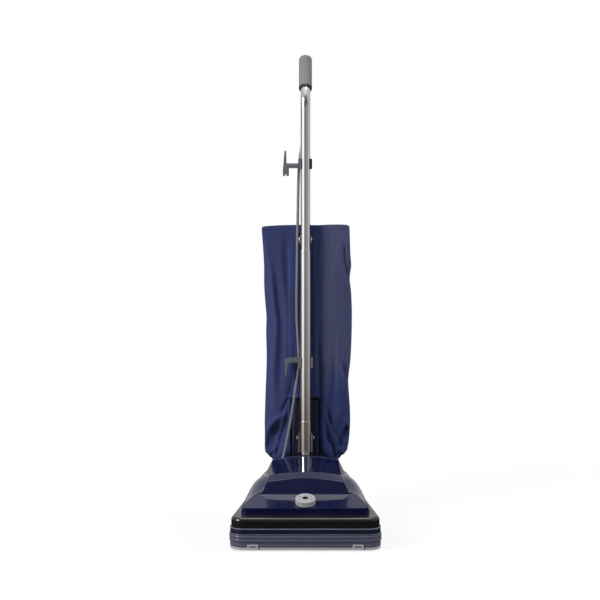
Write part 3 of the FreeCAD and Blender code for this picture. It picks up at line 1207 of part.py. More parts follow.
def upper_cord_hook():
    """The turning hook: a stem on the pin, a long finger up and a short foot down."""
    z = UPPER_HOOK_Z
    near = -UPPER_TUBE_R - 5.0 - SEAT_GAP
    far = -UPPER_TUBE_R - HOOK_STEM_LENGTH - 5
    y0 = TUBE_Y - HOOK_DEPTH / 2
    y1 = TUBE_Y + HOOK_DEPTH / 2
    stem = box(far + 4, near, y0, y1, z - 6, z + 1)
    stem = stem.fuse(across(far + 6, near, TUBE_Y, z, HOOK_DEPTH / 2))
    finger = Part.makePolygon([V(far + 10, 0, z - 6), V(far + 1, 0, z - 12), V(far, 0, z - 14),
                               V(far + 1, 0, z - 4), V(far + 4.3, 0, z + UPPER_FINGER_TIP),
                               V(far + 8.2, 0, z + UPPER_FINGER_TIP), V(far + 9, 0, z + 4), V(far + 10, 0, z - 6)])
    finger = Part.Face(finger).extrude(V(0, HOOK_DEPTH, 0))
    finger.translate(V(0, y0, 0))
    foot = box(far + 0.6, far + 14.5, y0, y1, z - UPPER_FOOT_TIP, z - 4)
    foot = foot.makeFillet(2.2, [e for e in foot.Edges if e.BoundBox.ZMax < z - UPPER_FOOT_TIP + 0.01
                                 and e.BoundBox.XLength < 0.01])
    foot = foot.cut(box(far + 6.2, far + 8.8, y0 - 1, y1 + 1, z - UPPER_FOOT_TIP - 1, z - UPPER_FOOT_TIP + 4))
    hook = fuse(stem, finger, foot)
    return hook.cut(across(-UPPER_TUBE_R - HOOK_STEM_LENGTH + 7, near + 1, TUBE_Y, z, BOLT_R + RUNNING_GAP))


def lower_cord_hook():
    """The fixed lower hook: a clamp with a stem and a finger that points down."""
    z = LOWER_HOOK_Z
    left = hook_clamp(z, 18, 7, MIDDLE_TUBE_R)
    near = -MIDDLE_TUBE_R - 3
    far = near - HOOK_STEM_LENGTH + 3
    y0 = TUBE_Y - HOOK_DEPTH / 2
    tip = LOWER_FINGER_TIP_Z
    arm = Part.makePolygon([V(near, 0, z + 7), V(far + 4, 0, z + 4.5), V(far, 0, z + 1), V(far + 1.2, 0, tip),
                            V(far + 4.6, 0, tip), V(far + 7, 0, z - 10), V(far + 10, 0, z - 5),
                            V(near, 0, z - 5), V(near, 0, z + 7)])
    arm = Part.Face(arm).extrude(V(0, HOOK_DEPTH, 0))
    arm.translate(V(0, y0, 0))
    cap = box(MIDDLE_TUBE_R - 2, MIDDLE_TUBE_R + HOOK_CAP + 1, TUBE_Y - 7, TUBE_Y + 7, z - 18, z + 7)
    face_x = MIDDLE_TUBE_R + HOOK_CAP + 1
    cap = cap.makeFillet(1.5, [e for e in cap.Edges if abs(e.CenterOfMass.x - face_x) < 0.01])
    cap = cap.cut(upright(z - 20, z + 20, 0, TUBE_Y, MIDDLE_TUBE_R + 0.1))
    return group([left.fuse(arm).removeSplitter(), cap])


def switch_housing():
    """The narrow box behind the upper tube."""
    y0 = TUBE_Y + UPPER_TUBE_R + 0.1
    y1 = y0 + SWITCH_DEPTH
    low = SWITCH_Z - SWITCH_HALF_HEIGHT
    high = SWITCH_Z + SWITCH_HALF_HEIGHT
    body = box(-SWITCH_HALF, SWITCH_HALF, y0 - 4, y1, low, high)
    body = body.makeFillet(2.0, [e for e in body.Edges if abs(e.CenterOfMass.y - y1) < 0.01])
    body = body.cut(upright(low - 1, high + 1, 0, TUBE_Y, UPPER_TUBE_R + 0.1))
    hollow = box(-SWITCH_HALF + SWITCH_WALL, SWITCH_HALF - SWITCH_WALL, y0 + SWITCH_WALL, y1 - SWITCH_WALL,
                 low + SWITCH_WALL, high - SWITCH_WALL)
    window = box(-ROCKER_HALF - 0.4, ROCKER_HALF + 0.4, y1 - SWITCH_WALL - 1, y1 + 1,
                 SWITCH_Z - ROCKER_HALF_HEIGHT - 1.3, SWITCH_Z + ROCKER_HALF_HEIGHT + 1.3)
    lead_end = SWITCH_LEAD_ROUTE[-1]
    lead_hole = upright(low - 1, low + SWITCH_WALL + 1, lead_end.x, lead_end.y, LEAD_R + 0.1)
    cord_hole = along(y1 - SWITCH_WALL - 1, y1 + 1, INLET_X, INLET_Z, INLET_BORE_R + 1.0)
    pin_y = y1 - SWITCH_WALL - 2.6
    pin_hole = across(-SWITCH_HALF + 0.5, SWITCH_HALF - 0.5, pin_y, SWITCH_Z, ROCKER_PIN_R + RUNNING_GAP)
    return cut(body, hollow, window, lead_hole, cord_hole, pin_hole)


INLET_X = 0.0
INLET_Z = SWITCH_Z - SWITCH_HALF_HEIGHT + SWITCH_WALL + INLET_BORE_R + 3.5


def cord_inlet():
    """The gland for a supply cord, at the foot of the switch housing's rear wall."""
    wall_face = TUBE_Y + UPPER_TUBE_R + 0.1 + SWITCH_DEPTH - SWITCH_WALL
    inner = wall_face - 1.6
    flange = along(inner, wall_face - 0.1, INLET_X, INLET_Z, INLET_BORE_R + 1.9)
    neck = along(inner + 0.5, inner + INLET_LENGTH, INLET_X, INLET_Z, INLET_BORE_R + 0.95)
    return cut(flange.fuse(neck), along(inner - 5, inner + INLET_LENGTH + 5, INLET_X, INLET_Z, INLET_BORE_R))


def rocker_switch():
    """The rocker, on its pin across the housing."""
    y1 = TUBE_Y + UPPER_TUBE_R + 0.1 + SWITCH_DEPTH
    pin_y = y1 - SWITCH_WALL - 2.6
    rocker = box(-ROCKER_HALF, ROCKER_HALF, pin_y - 1, y1 + 2.4,
                 SWITCH_Z - ROCKER_HALF_HEIGHT, SWITCH_Z + ROCKER_HALF_HEIGHT)
    dip = across(-20, 20, y1 + 20, SWITCH_Z, 19)
    pin = across(-SWITCH_HALF + 0.8, SWITCH_HALF - 0.8, pin_y, SWITCH_Z, ROCKER_PIN_R)
    return rocker.cut(dip).fuse(pin).removeSplitter()


def bag_stations():
    """Height, middle, half width, front and rear of the bag at each level, from the bottom up."""
    deep = BAG_REAR_Y
    front = BAG_FRONT_Y
    return [
        (137, 0, BAG_HALF - 39, 130, 148), (166, 2.5, BAG_HALF - 2, 114, deep - 8),
        (215, 2.5, BAG_HALF - 3, 106.5, deep - 2.5), (270, 3, BAG_HALF - 4, front, deep),
        (350, 5, BAG_HALF - 4, front, deep), (450, 7, BAG_HALF - 2, front, deep),
        (560, 6.5, BAG_HALF, front, deep - 11), (640, 2, BAG_HALF + 1, front, deep - 33),
        (BAG_TOP_Z, 0.5, BAG_HALF, front + 0.4, front + 8),
    ]


def lens(centre, half, front, rear, z):
    """A closed wire of two arcs that meet at the sides."""
    side = (front + rear) / 2
    left = V(centre - half, side, z)
    right = V(centre + half, side, z)
    return Part.Wire([Part.Arc(left, V(centre, front, z), right).toShape(),
                      Part.Arc(right, V(centre, rear, z), left).toShape()])


def bag_form(inset):
    """The flat-sewn bag: a front and a rear curve at each level, lofted upwards."""
    loops = []
    lowest = bag_stations()[0][0]
    for z, middle, half, front, rear in bag_stations():
        level = z
        if z == lowest:
            level = z + inset * 3
        if z == BAG_TOP_Z:
            level = z - inset * 3
        loops.append(lens(middle, half - inset * 2, front + inset, rear - inset, level))
    return Part.makeLoft(loops, True, False)


def fill_pocket(gap):
    """The room for the fill tube and its collar in the front of the bag."""
    rear = FILL_FRONT_Y + FILL_DEPTH + gap
    return box(-FILL_HALF - gap, FILL_HALF + gap, 0, rear, 0, FILL_TOP_Z + gap)


def dust_bag():
    """The cloth bag: a thin closed shell with a pocket and a hole for the fill tube."""
    outer = bag_form(0).cut(fill_pocket(SEAT_GAP))
    inner = bag_form(BAG_WALL).cut(fill_pocket(SEAT_GAP + BAG_WALL))
    y = FILL_FRONT_Y + FILL_DEPTH
    hole = along(y - 5, y + 8, 0, SPIGOT_Z, SPIGOT_R + 3.2)
    return outer.cut(inner).cut(hole)


def bag_collar():
    """The rubber collar on the spigot, which the bag is held by."""
    y0 = FILL_FRONT_Y + FILL_DEPTH + SEAT_GAP
    ring = along(y0, y0 + 6, 0, SPIGOT_Z, SPIGOT_R + 3.0)
    lip = along(y0 + BAG_WALL + 0.4, y0 + 6, 0, SPIGOT_Z, SPIGOT_R + 7)
    return ring.fuse(lip).cut(along(y0 - 1, y0 + 9, 0, SPIGOT_Z, SPIGOT_R + 0.1))


def paper_bag():
    """The paper filter bag inside the cloth bag, clipped on the spigot."""
    front = FILL_FRONT_Y + FILL_DEPTH + SEAT_GAP + 6.3
    rear = BAG_REAR_Y - BAG_WALL - 7
    low = SPIGOT_Z - 45
    high = ZIP_HIGH_Z + 20
    wall = PAPER_BAG_WALL
    form = Part.makeLoft([lens(4, PAPER_BAG_HALF, front, rear, z) for z in (low, high)], True, True)
    hollow = Part.makeLoft([lens(4, PAPER_BAG_HALF - 5 * wall, front + wall, rear - wall, z)
                            for z in (low + wall, high - wall)], True, True)
    return form.cut(hollow).cut(along(front - 2, front + 8, 0, SPIGOT_Z, SPIGOT_R + 0.4))


def bag_hanger():
    """The steel bracket on the upper bolt that holds the bag's top."""
    inner = UPPER_TUBE_R + 0.2
    outer = inner + 1.6
    y1 = BAG_FRONT_Y - SEAT_GAP
    cheek = box(inner, outer, TUBE_Y - 7, y1, UPPER_BOLT_Z - 8, UPPER_BOLT_Z + 8)
    cheek = cheek.cut(across(inner - 1, outer + 1, TUBE_Y, UPPER_BOLT_Z, BOLT_R + 0.1))
    back = box(-outer, outer, y1 - 1.6, y1, UPPER_BOLT_Z - 8, UPPER_BOLT_Z + 8)
    return fuse(cheek, mirrored(cheek), back)


def bag_zip():
    """The zip down the back of the bag."""
    y = BAG_REAR_Y + ZIP_GAP
    return box(-ZIP_HALF, ZIP_HALF, y, y + ZIP_THICK, ZIP_LOW_Z, ZIP_HIGH_Z)


def zip_slider():
    """The zip's slider with its pull, at the top of the zip."""
    y = BAG_REAR_Y + ZIP_GAP + ZIP_THICK + SEAT_GAP
    top = ZIP_HIGH_Z - 2
    body = box(-SLIDER_HALF, SLIDER_HALF, y, y + SLIDER_THICK, top - SLIDER_LENGTH, top)
    body = body.makeFillet(1.2, [e for e in body.Edges if abs(e.CenterOfMass.y - y - SLIDER_THICK) < 0.01])
    pull = box(-2.5, 2.5, y + SLIDER_THICK - 1, y + SLIDER_THICK + 0.8, top - SLIDER_LENGTH - 16, top - 4)
    return body.fuse(pull).removeSplitter()


def lead_gland():
    """The tapered gland on the rear deck where the lead leaves the base."""
    x = BASE_LEAD_ROUTE[0].x
    y = BASE_LEAD_ROUTE[0].y
    low = DECK_Z + 3.1
    nut = upright(low, low + 6, x, y, 9)
    cone = Part.makeCone(7.0, LEAD_R + 1.2, GLAND_TOP_Z - low - 6, V(x, y, low + 6), V(0, 0, 1))
    return nut.fuse(cone)


def lead(route, name):
    """A lead along its route: straight runs joined by arcs as large as the runs allow."""
    radii = []
    for i in range(1, len(route) - 1):
        back = route[i - 1] - route[i]
        ahead = route[i + 1] - route[i]
        half_turn = (math.pi - back.getAngle(ahead)) / 2
        radii.append(LEAD_ARC_SHARE * min(back.Length, ahead.Length) / math.tan(half_turn))
    path = Part.Wire(route_edges(route, radii))
    circle = Part.Wire([Part.makeCircle(LEAD_R, route[0], route[1] - route[0])])
    solid = path.makePipeShell([circle], True, False)
    ratio = solid.Volume / (math.pi * LEAD_R ** 2 * path.Length)
    print(name, "length", round(path.Length, 1), "radii", [round(r) for r in radii], "ratio", round(ratio, 4))
    return solid


def handle_pedal():
    """The foot pedal at the rear right, moulded with its pivot pins and a tail inside the base."""
    x0 = PEDAL_X - PEDAL_HALF
    x1 = PEDAL_X + PEDAL_HALF
    hub = across(x0, x1, PEDAL_Y, PEDAL_Z, 5)
    plate = box(x0, x1, PEDAL_Y, BASE_REAR_Y + PEDAL_REACH, PEDAL_Z - 2, PEDAL_Z + 2)
    plate = plate.makeFillet(1.5, [e for e in plate.Edges if e.CenterOfMass.y > BASE_REAR_Y + PEDAL_REACH - 0.01])
    tail = box(x0, x0 + 6, PEDAL_Y - 20, PEDAL_Y, PEDAL_Z - 2, PEDAL_Z + 2)
    pins = across(x0 - 8.5, x1 + 8.5, PEDAL_Y, PEDAL_Z, PEDAL_PIN_R)
    return fuse(hub, plate, tail, pins)


nodes["base_housing"] = base_housing()
nodes["furniture_guard"] = furniture_guard()
nodes["bottom_plate"] = bottom_plate()
nodes["latch_right"] = plate_latch()
nodes["latch_left"] = mirrored(plate_latch())
nodes["hood"] = hood()
nodes["base_screws"] = base_screws()
nodes["height_knob"] = height_knob()
nodes["knob_cam"] = knob_cam()
nodes["wheel_carriage"] = wheel_carriage()
nodes["carriage_rod"] = across(-CARRIAGE_RIB_X - 7.5, CARRIAGE_RIB_X + 7.5, CARRIAGE_Y, CARRIAGE_Z, CARRIAGE_ROD_R)
FRONT_AXLE_HALF = CARRIAGE_ARM_X + CARRIAGE_ARM_THICK + FRONT_WHEEL_WIDTH + 3
nodes["front_axle"] = across(-FRONT_AXLE_HALF, FRONT_AXLE_HALF, FRONT_WHEEL_Y, FRONT_WHEEL_R, FRONT_AXLE_R)
nodes["front_wheel_right"] = front_wheel()
nodes["front_wheel_left"] = mirrored(front_wheel())
REAR_AXLE_HALF = REAR_WHEEL_X + REAR_WHEEL_WIDTH / 2 + MOVING_GAP + 5
nodes["rear_axle"] = across(-REAR_AXLE_HALF, REAR_AXLE_HALF, REAR_WHEEL_Y, REAR_WHEEL_R, REAR_AXLE_R)
nodes["rear_wheel_right"] = rear_wheel()
nodes["rear_wheel_left"] = mirrored(rear_wheel())
nodes["brush_roll"] = brush_roll()
nodes["bristle_tufts"] = bristle_tufts()
nodes["brush_end_caps"] = brush_end_caps()
nodes["drive_belt"] = drive_belt()
nodes["intake_throat"] = intake_throat()
nodes["fan_housing"] = fan_housing()
nodes["fan_impeller"] = fan_impeller()
nodes["motor_shaft"] = motor_shaft()
nodes["motor_bearings"] = motor_bearings()
nodes["armature"] = armature()
nodes["commutator"] = commutator()
nodes["motor_stator"] = motor_stator()
nodes["field_coils"] = field_coils()
nodes["brush_holders"] = brush_holders()
nodes["carbon_brushes"] = carbon_brushes()
nodes["motor_bracket"] = motor_bracket()
nodes["exhaust_duct"] = exhaust_duct()
nodes["flexible_neck"] = flexible_neck()
nodes["fill_tube"] = fill_tube()
nodes["handle_fork"] = handle_fork()
nodes["pivot_pins"] = pivot_pins()
nodes["lower_tube"] = lower_tube()
nodes["middle_tube"] = middle_tube()
nodes["upper_tube"] = upper_tube()
nodes["joint_bolts"] = joint_bolts()
nodes["grip"] = grip()
nodes["grip_ring"] = grip_ring()
nodes["upper_hook_base"] = upper_hook_base()
nodes["upper_cord_hook"] = upper_cord_hook()
nodes["lower_cord_hook"] = lower_cord_hook()
nodes["switch_housing"] = switch_housing()
nodes["rocker_switch"] = rocker_switch()
nodes["cord_inlet"] = cord_inlet()
nodes["bag_hanger"] = bag_hanger()
nodes["dust_bag"] = dust_bag()
nodes["bag_collar"] = bag_collar()
nodes["paper_bag"] = paper_bag()
nodes["bag_zip"] = bag_zip()
nodes["zip_slider"] = zip_slider()
nodes["lead_gland"] = lead_gland()
nodes["base_lead"] = lead(BASE_LEAD_ROUTE, "base_lead")
nodes["switch_lead"] = lead(SWITCH_LEAD_ROUTE, "switch_lead")
nodes["handle_pedal"] = handle_pedal()

os.makedirs("parts", exist_ok=True)
for name, shape in nodes.items():
    shape.exportStep("parts/" + name + ".step")
    solids = len(shape.Solids)
    if not shape.isValid() or shape.Volume <= 0:
        print("CHECK", name)
    print(name, solids, round(shape.Volume))
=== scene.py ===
"""Upright vacuum cleaner with a cloth dust bag: the looks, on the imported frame."""

import math
import random

import bmesh
import bpy
from mathutils import Matrix, Vector


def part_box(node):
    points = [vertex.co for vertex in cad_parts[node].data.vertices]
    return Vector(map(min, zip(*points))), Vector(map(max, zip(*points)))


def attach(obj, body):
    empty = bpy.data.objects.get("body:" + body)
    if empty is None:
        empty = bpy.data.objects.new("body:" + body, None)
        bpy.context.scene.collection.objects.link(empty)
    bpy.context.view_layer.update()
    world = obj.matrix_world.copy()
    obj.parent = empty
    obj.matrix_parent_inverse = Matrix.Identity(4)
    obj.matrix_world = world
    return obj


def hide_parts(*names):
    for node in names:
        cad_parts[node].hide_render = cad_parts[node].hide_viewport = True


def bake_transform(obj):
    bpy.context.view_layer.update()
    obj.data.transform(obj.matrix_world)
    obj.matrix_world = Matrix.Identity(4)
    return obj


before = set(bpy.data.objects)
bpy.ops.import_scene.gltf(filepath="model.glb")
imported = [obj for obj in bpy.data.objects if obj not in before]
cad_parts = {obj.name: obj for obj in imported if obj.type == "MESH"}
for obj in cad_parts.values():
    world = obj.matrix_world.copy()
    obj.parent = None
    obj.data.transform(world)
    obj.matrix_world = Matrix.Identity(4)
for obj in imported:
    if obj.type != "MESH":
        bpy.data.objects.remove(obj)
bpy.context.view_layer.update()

MM = 0.001
scene = bpy.context.scene
luck = random.Random(41)


# Camera and lamps

PICTURE_WIDTH = 600
FOCAL_PIXELS = 1542.8
CENTRE_OFFSET = -5.44
SENSOR = 36.0
LOOK_DOWN = 6.21


def add_object(name, data):
    """A new object of the scene."""
    made = bpy.data.objects.new(name, data)
    scene.collection.objects.link(made)
    return made


def soft_lamp(name, place, target, size, power):
    """A rectangular studio lamp that looks at the target."""
    data = bpy.data.lights.new(name, "AREA")
    data.shape = "RECTANGLE"
    data.size, data.size_y = size
    data.energy = power
    lamp = add_object(name, data)
    lamp.location = place
    lamp.rotation_euler = (Vector(target) - Vector(place)).to_track_quat("-Z", "Y").to_euler()
    return lamp


camera_data = bpy.data.cameras.new("camera")
camera_data.sensor_width = SENSOR
camera_data.lens = FOCAL_PIXELS / PICTURE_WIDTH * SENSOR
camera_data.shift_x = CENTRE_OFFSET / PICTURE_WIDTH
camera_data.clip_end = 40
camera = add_object("camera", camera_data)
camera.location = (0, -3.4816, 0.9177)
camera.rotation_euler = (math.radians(90 - LOOK_DOWN), 0, 0)
scene.camera = camera
scene.view_settings.view_transform = "Standard"
soft_lamp("key_lamp", (-2.5, -1.7, 2.0), (0, 0, 0.45), (0.9, 1.5), 114)
soft_lamp("top_lamp", (0.1, 0.5, 2.9), (0, 0, 0.3), (1.6, 1.2), 24)
soft_lamp("side_lamp", (2.3, -0.35, 1.15), (0.05, 0.1, 0.5), (0.7, 1.5), 36).visible_glossy = False


# Node helpers: a value is a number, a colour, a vector or another node's output

def put(tree, kind, **values):
    """One node, with its settings and its inputs' numbers."""
    made = tree.nodes.new(kind)
    for key, value in values.items():
        name = key.replace("_", " ")
        if name in made.inputs and not hasattr(made, key):
            made.inputs[name].default_value = value
        else:
            setattr(made, key, value)
    return made


def owner(*values):
    """The node tree of the first output among the values."""
    return next(value.id_data for value in values if isinstance(value, bpy.types.NodeSocket))


def feed(values, sockets):
    """Each value into its socket."""
    for value, socket in zip(values, sockets):
        if isinstance(value, bpy.types.NodeSocket):
            socket.id_data.links.new(value, socket)
        elif isinstance(value, tuple) and len(socket.default_value) == 4:
            socket.default_value = (*value[:3], 1)
        else:
            socket.default_value = value


def maths(job, *values, clamp=False):
    """A Math node's result."""
    made = put(owner(*values), "ShaderNodeMath", operation=job, use_clamp=clamp)
    feed(values, made.inputs)
    return made.outputs[0]


def times(a, b, clamp=False):
    return maths("MULTIPLY", a, b, clamp=clamp)


def plus(a, b, clamp=False):
    return maths("ADD", a, b, clamp=clamp)


def minus(a, b):
    return maths("SUBTRACT", a, b)


def vector_maths(job, *values):
    """A Vector Math node's vector, or its number for a length or a dot product."""
    made = put(owner(*values), "ShaderNodeVectorMath", operation=job)
    feed(values, (made.inputs[0], made.inputs["Scale" if job == "SCALE" else 1]))
    return made.outputs["Value" if job in ("LENGTH", "DOT_PRODUCT") else "Vector"]


def axes(vector):
    """The outputs X, Y and Z of a vector."""
    made = put(owner(vector), "ShaderNodeSeparateXYZ")
    feed([vector], made.inputs)
    return made.outputs


def mix(share, a, b, job="MIX"):
    """A mix of two colours."""
    made = put(owner(share, a, b), "ShaderNodeMix", data_type="RGBA", blend_type=job)
    feed((share, a, b), (made.inputs[0], made.inputs[6], made.inputs[7]))
    return made.outputs[2]


def noise(vector, scale, detail=3.0, roughness=0.5, distortion=0.0):
    made = put(owner(vector), "ShaderNodeTexNoise", Detail=detail, Roughness=roughness, Distortion=distortion)
    feed((vector, scale), (made.inputs["Vector"], made.inputs["Scale"]))
    return made.outputs["Fac"]


def remap(value, low, high, out_low=0.0, out_high=1.0):
    """The stretch from low to high turned into out_low to out_high, and held beyond both ends."""
    made = put(owner(value), "ShaderNodeMapRange", From_Min=low, From_Max=high, To_Min=out_low, To_Max=out_high)
    feed([value], made.inputs)
    return made.outputs["Result"]


def tinted(colour, *factors):
    """A colour times one number, or times one number for each of its parts."""
    return tuple(part * factor for part, factor in zip(colour, factors if len(factors) > 1 else factors * 3))


def shared_effect(outputs, **inputs):
    """Turns a function of a group's inputs into that group; None is a vector input without a value."""
    def build(wiring):
        tree = bpy.data.node_groups.new(wiring.__name__, "ShaderNodeTree")
        for label, value in inputs.items():
            kind = "NodeSocketFloat" if isinstance(value, float) else "NodeSocketVector"
            socket = tree.interface.new_socket(label, in_out="INPUT", socket_type=kind)
            if value is not None:
                socket.default_value = value
        for label in outputs:
            kind = "NodeSocketVector" if label == "Normal" else "NodeSocketFloat"
            tree.interface.new_socket(label, in_out="OUTPUT", socket_type=kind)
        take, give = tree.nodes.new("NodeGroupInput"), tree.nodes.new("NodeGroupOutput")
        feed(wiring(take.outputs), give.inputs)
        return tree
    return build


def effect(tree, group, **values):
    """The outputs of a shared effect, placed in a material with its own values."""
    made = put(tree, "ShaderNodeGroup", node_tree=group)
    feed(values.values(), [made.inputs[label] for label in values])
    return made.outputs


# Shared effects

@shared_effect(["Height", "Mottle"], Vector=None, Scale=900.0)
def moulded_grain(take):
    """Fine pits of moulded plastic or rubber."""
    pits = put(owner(take[0]), "ShaderNodeTexVoronoi", feature="SMOOTH_F1")
    feed((take["Vector"], take["Scale"]), (pits.inputs["Vector"], pits.inputs["Scale"]))
    fine = noise(take["Vector"], times(take["Scale"], 2.2), 2.0)
    return plus(pits.outputs["Distance"], times(fine, 0.5)), noise(take["Vector"], 22.0, 4.0, 0.6)


@shared_effect(["Normal", "Mask"], Radius=0.001, Reach=0.12)
def rounded_edge(take):
    """A small round on each sharp edge, and a mask of where it is."""
    rounded = put(owner(take[0]), "ShaderNodeBevel", samples=6)
    feed([take["Radius"]], [rounded.inputs["Radius"]])
    shape = put(owner(take[0]), "ShaderNodeNewGeometry")
    normal = rounded.outputs["Normal"]
    away = minus(1.0, vector_maths("DOT_PRODUCT", normal, shape.outputs["Normal"]))
    return normal, maths("DIVIDE", away, take["Reach"], clamp=True)


@shared_effect(["Mask"], Vector=None, Amount=0.2)
def settled_dust(take):
    """Thin dust on the faces that look up, thicker in patches."""
    shape = put(owner(take[0]), "ShaderNodeNewGeometry")
    up = remap(axes(shape.outputs["Normal"])["Z"], 0.35, 1.0)
    patches = remap(noise(take["Vector"], 16.0, 5.0, 0.62), 0.38, 0.72)
    specks = remap(noise(take["Vector"], 700.0, 1.0), 0.52, 0.74, 0.35, 1.0)
    return [times(times(times(up, patches), specks), take["Amount"], clamp=True)]


@shared_effect(["Patch", "Scratch"], Vector=None, Scale=9.0)
def smudges(take):
    """Wiped patches and fine scratches in the gloss."""
    soft = noise(take["Vector"], take["Scale"], 4.0, 0.55, 0.6)
    turned = put(owner(take[0]), "ShaderNodeMapping", Rotation=(0.3, 0.5, 0.7), Scale=(14, 420, 14))
    feed([take["Vector"]], [turned.inputs["Vector"]])
    lines = noise(turned.outputs["Vector"], 1.0, 1.0, 0.4)
    return remap(soft, 0.32, 0.7), remap(lines, 0.66, 0.74)


@shared_effect(["Line"], Vector=None, Stretch=(4, 900, 900))
def drawn_lines(take):
    """Long fine lines of drawn, turned or brushed metal."""
    scaled = vector_maths("MULTIPLY", take["Vector"], take["Stretch"])
    return [remap(noise(scaled, 1.0, 3.0, 0.6), 0.3, 0.7)]


@shared_effect(["Height", "Shade"], Vector=None, Threads=1400.0)
def twill_weave(take):
    """Diagonal weave from a flat map in metres: thread height and a slight thread-to-thread shade."""
    spot = axes(vector_maths("SCALE", take["Vector"], take["Threads"]))
    warp_wave, weft_wave = [maths("ABSOLUTE", maths("SINE", times(spot[way], math.pi))) for way in "XY"]
    slant = maths("SINE", times(plus(spot["X"], spot["Y"]), math.pi / 2))
    warp, weft = [noise(vector_maths("MULTIPLY", take["Vector"], stretch), 1.0, 1.0)
                  for stretch in ((700, 9, 1), (9, 700, 1))]
    return plus(times(warp_wave, weft_wave), times(slant, 0.45)), remap(plus(warp, weft), 0.6, 1.4)


@shared_effect(["Thread", "Dent"], Along=0.0, Across=0.0, Level=0.0, Pitch=0.0032)
def stitch_row(take):
    """A row of stitches along one level of a flat map in metres, with the dent that it pulls."""
    step = maths("FRACT", maths("DIVIDE", take["Along"], take["Pitch"]))
    on = maths("LESS_THAN", maths("ABSOLUTE", minus(step, 0.5)), 0.34)
    away = maths("ABSOLUTE", minus(take["Across"], take["Level"]))
    return times(on, maths("LESS_THAN", away, 0.00042)), remap(away, 0.0, 0.0024, 1.0, 0.0)


# Kinds of finish

FINISHES = {}


def start_finish(name, **fixed):
    """A new material: its tree, the inputs of its shader and the place outputs of the piece."""
    material = bpy.data.materials.new(name)
    material.use_nodes = True
    FINISHES[name] = material
    tree = material.node_tree
    shader = tree.nodes["Principled BSDF"].inputs
    for key, value in fixed.items():
        shader[key.replace("_", " ")].default_value = value
    return tree, shader, tree.nodes.new("ShaderNodeTexCoord").outputs


def end_finish(shader, paint, gloss, normal, *bumps):
    """Colour, roughness and bumps on top of each other: (height, strength, distance)."""
    for height, strength, distance in bumps:
        made = put(owner(height), "ShaderNodeBump", Strength=strength, Distance=distance)
        feed([height], [made.inputs["Height"]])
        if normal is not None:
            feed([normal], [made.inputs["Normal"]])
        normal = made.outputs["Normal"]
    feed((paint, gloss), (shader["Base Color"], shader["Roughness"]))
    if normal is not None:
        feed([normal], [shader["Normal"]])


def moulding(name, colour, roughness, edge=(0.0006, None, 0.0), grain=(900, 0.12), dust=0.12, smudge=0.06,
             mottle=0.12, **fixed):
    """Moulded plastic or rubber: grain, paler rounded edges that are partly wear and partly a painted highlight,
    smudges in the gloss and a little dust.
    """
    tree, shader, place = start_finish(name, **fixed)
    spot = place["Object"]
    radius, paler_tone, amount = edge
    rounded = effect(tree, rounded_edge, Radius=radius)
    texture = effect(tree, moulded_grain, Vector=spot, Scale=grain[0])
    wiped = effect(tree, smudges, Vector=spot)
    paint = mix(texture["Mottle"], tinted(colour, 1 - mottle), tinted(colour, 1 + mottle))
    if paler_tone:
        # paler rounded edges: wear, and also a painted highlight along them
        edge_wear_and_highlight = times(rounded["Mask"], remap(noise(spot, 130.0), 0.25, 0.6))
        paint = mix(times(edge_wear_and_highlight, amount), paint, paler_tone)
    gloss = plus(roughness - smudge / 2, times(wiped["Patch"], smudge))
    gloss = plus(gloss, times(wiped["Scratch"], smudge * 0.7))
    if dust:
        film = effect(tree, settled_dust, Vector=spot, Amount=dust)["Mask"]
        paint = mix(film, paint, (0.42, 0.41, 0.39))
        gloss = plus(gloss, times(film, 0.5), clamp=True)
    end_finish(shader, paint, gloss, rounded["Normal"], (texture["Height"], grain[1], 0.0002))


def metal(name, colour, roughness, stretch=(900, 900, 4), lines=0.08, edge=0.0004, tarnish=(0.5, 0.46, 0.4),
          tarnish_share=0.12, metallic=1.0):
    """Drawn, turned or plated metal with fine lines and light tarnish."""
    tree, shader, place = start_finish(name, Metallic=metallic)
    rounded = effect(tree, rounded_edge, Radius=edge)
    drawn = effect(tree, drawn_lines, Vector=place["Object"], Stretch=stretch)["Line"]
    wiped = effect(tree, smudges, Vector=place["Object"], Scale=14.0)["Patch"]
    paint = mix(times(wiped, tarnish_share), colour, tinted(colour, *tarnish))
    paint = mix(times(drawn, lines), paint, tinted(colour, 0.7))
    gloss = plus(roughness, times(wiped, roughness * 0.5))
    gloss = plus(gloss, times(drawn, lines * 0.5), clamp=True)
    end_finish(shader, paint, gloss, rounded["Normal"], (drawn, lines, 0.00005))


# Finishes of this machine

# each edge colour paints the rounded edges paler: partly wear, partly a painted highlight
moulding("hood_gloss", (0.0032, 0.0048, 0.034), 0.13, edge=(0.0009, (0.06, 0.07, 0.15), 0.4), grain=(260, 0.02),
         dust=0.05, smudge=0.05, Coat_Weight=0.35, Coat_Roughness=0.05)
moulding("body_gloss", (0.0085, 0.0078, 0.0075), 0.15, edge=(0.001, (0.04, 0.04, 0.045), 0.3), grain=(420, 0.03),
         dust=0.06, smudge=0.07, Coat_Weight=0.15, Coat_Roughness=0.08)
moulding("guard_vinyl", (0.0095, 0.012, 0.028), 0.22, edge=(0.0006, (0.2, 0.21, 0.26), 0.6), grain=(700, 0.08),
         dust=0.1, smudge=0.1)
moulding("knob_plastic", (0.36, 0.36, 0.365), 0.4, edge=(0.0009, (0.66, 0.66, 0.66), 0.7), grain=(1100, 0.1),
         dust=0.04)
moulding("matt_black", (0.016, 0.016, 0.017), 0.5, edge=(0.0005, (0.07, 0.07, 0.07), 0.4), grain=(900, 0.15),
         dust=0.15)
moulding("wheel_rubber", (0.02, 0.02, 0.02), 0.62, edge=(0.0008, (0.09, 0.09, 0.088), 0.6), grain=(600, 0.3),
         dust=0.25)
moulding("belt_rubber", (0.014, 0.014, 0.014), 0.7, grain=(1300, 0.35), dust=0.2)
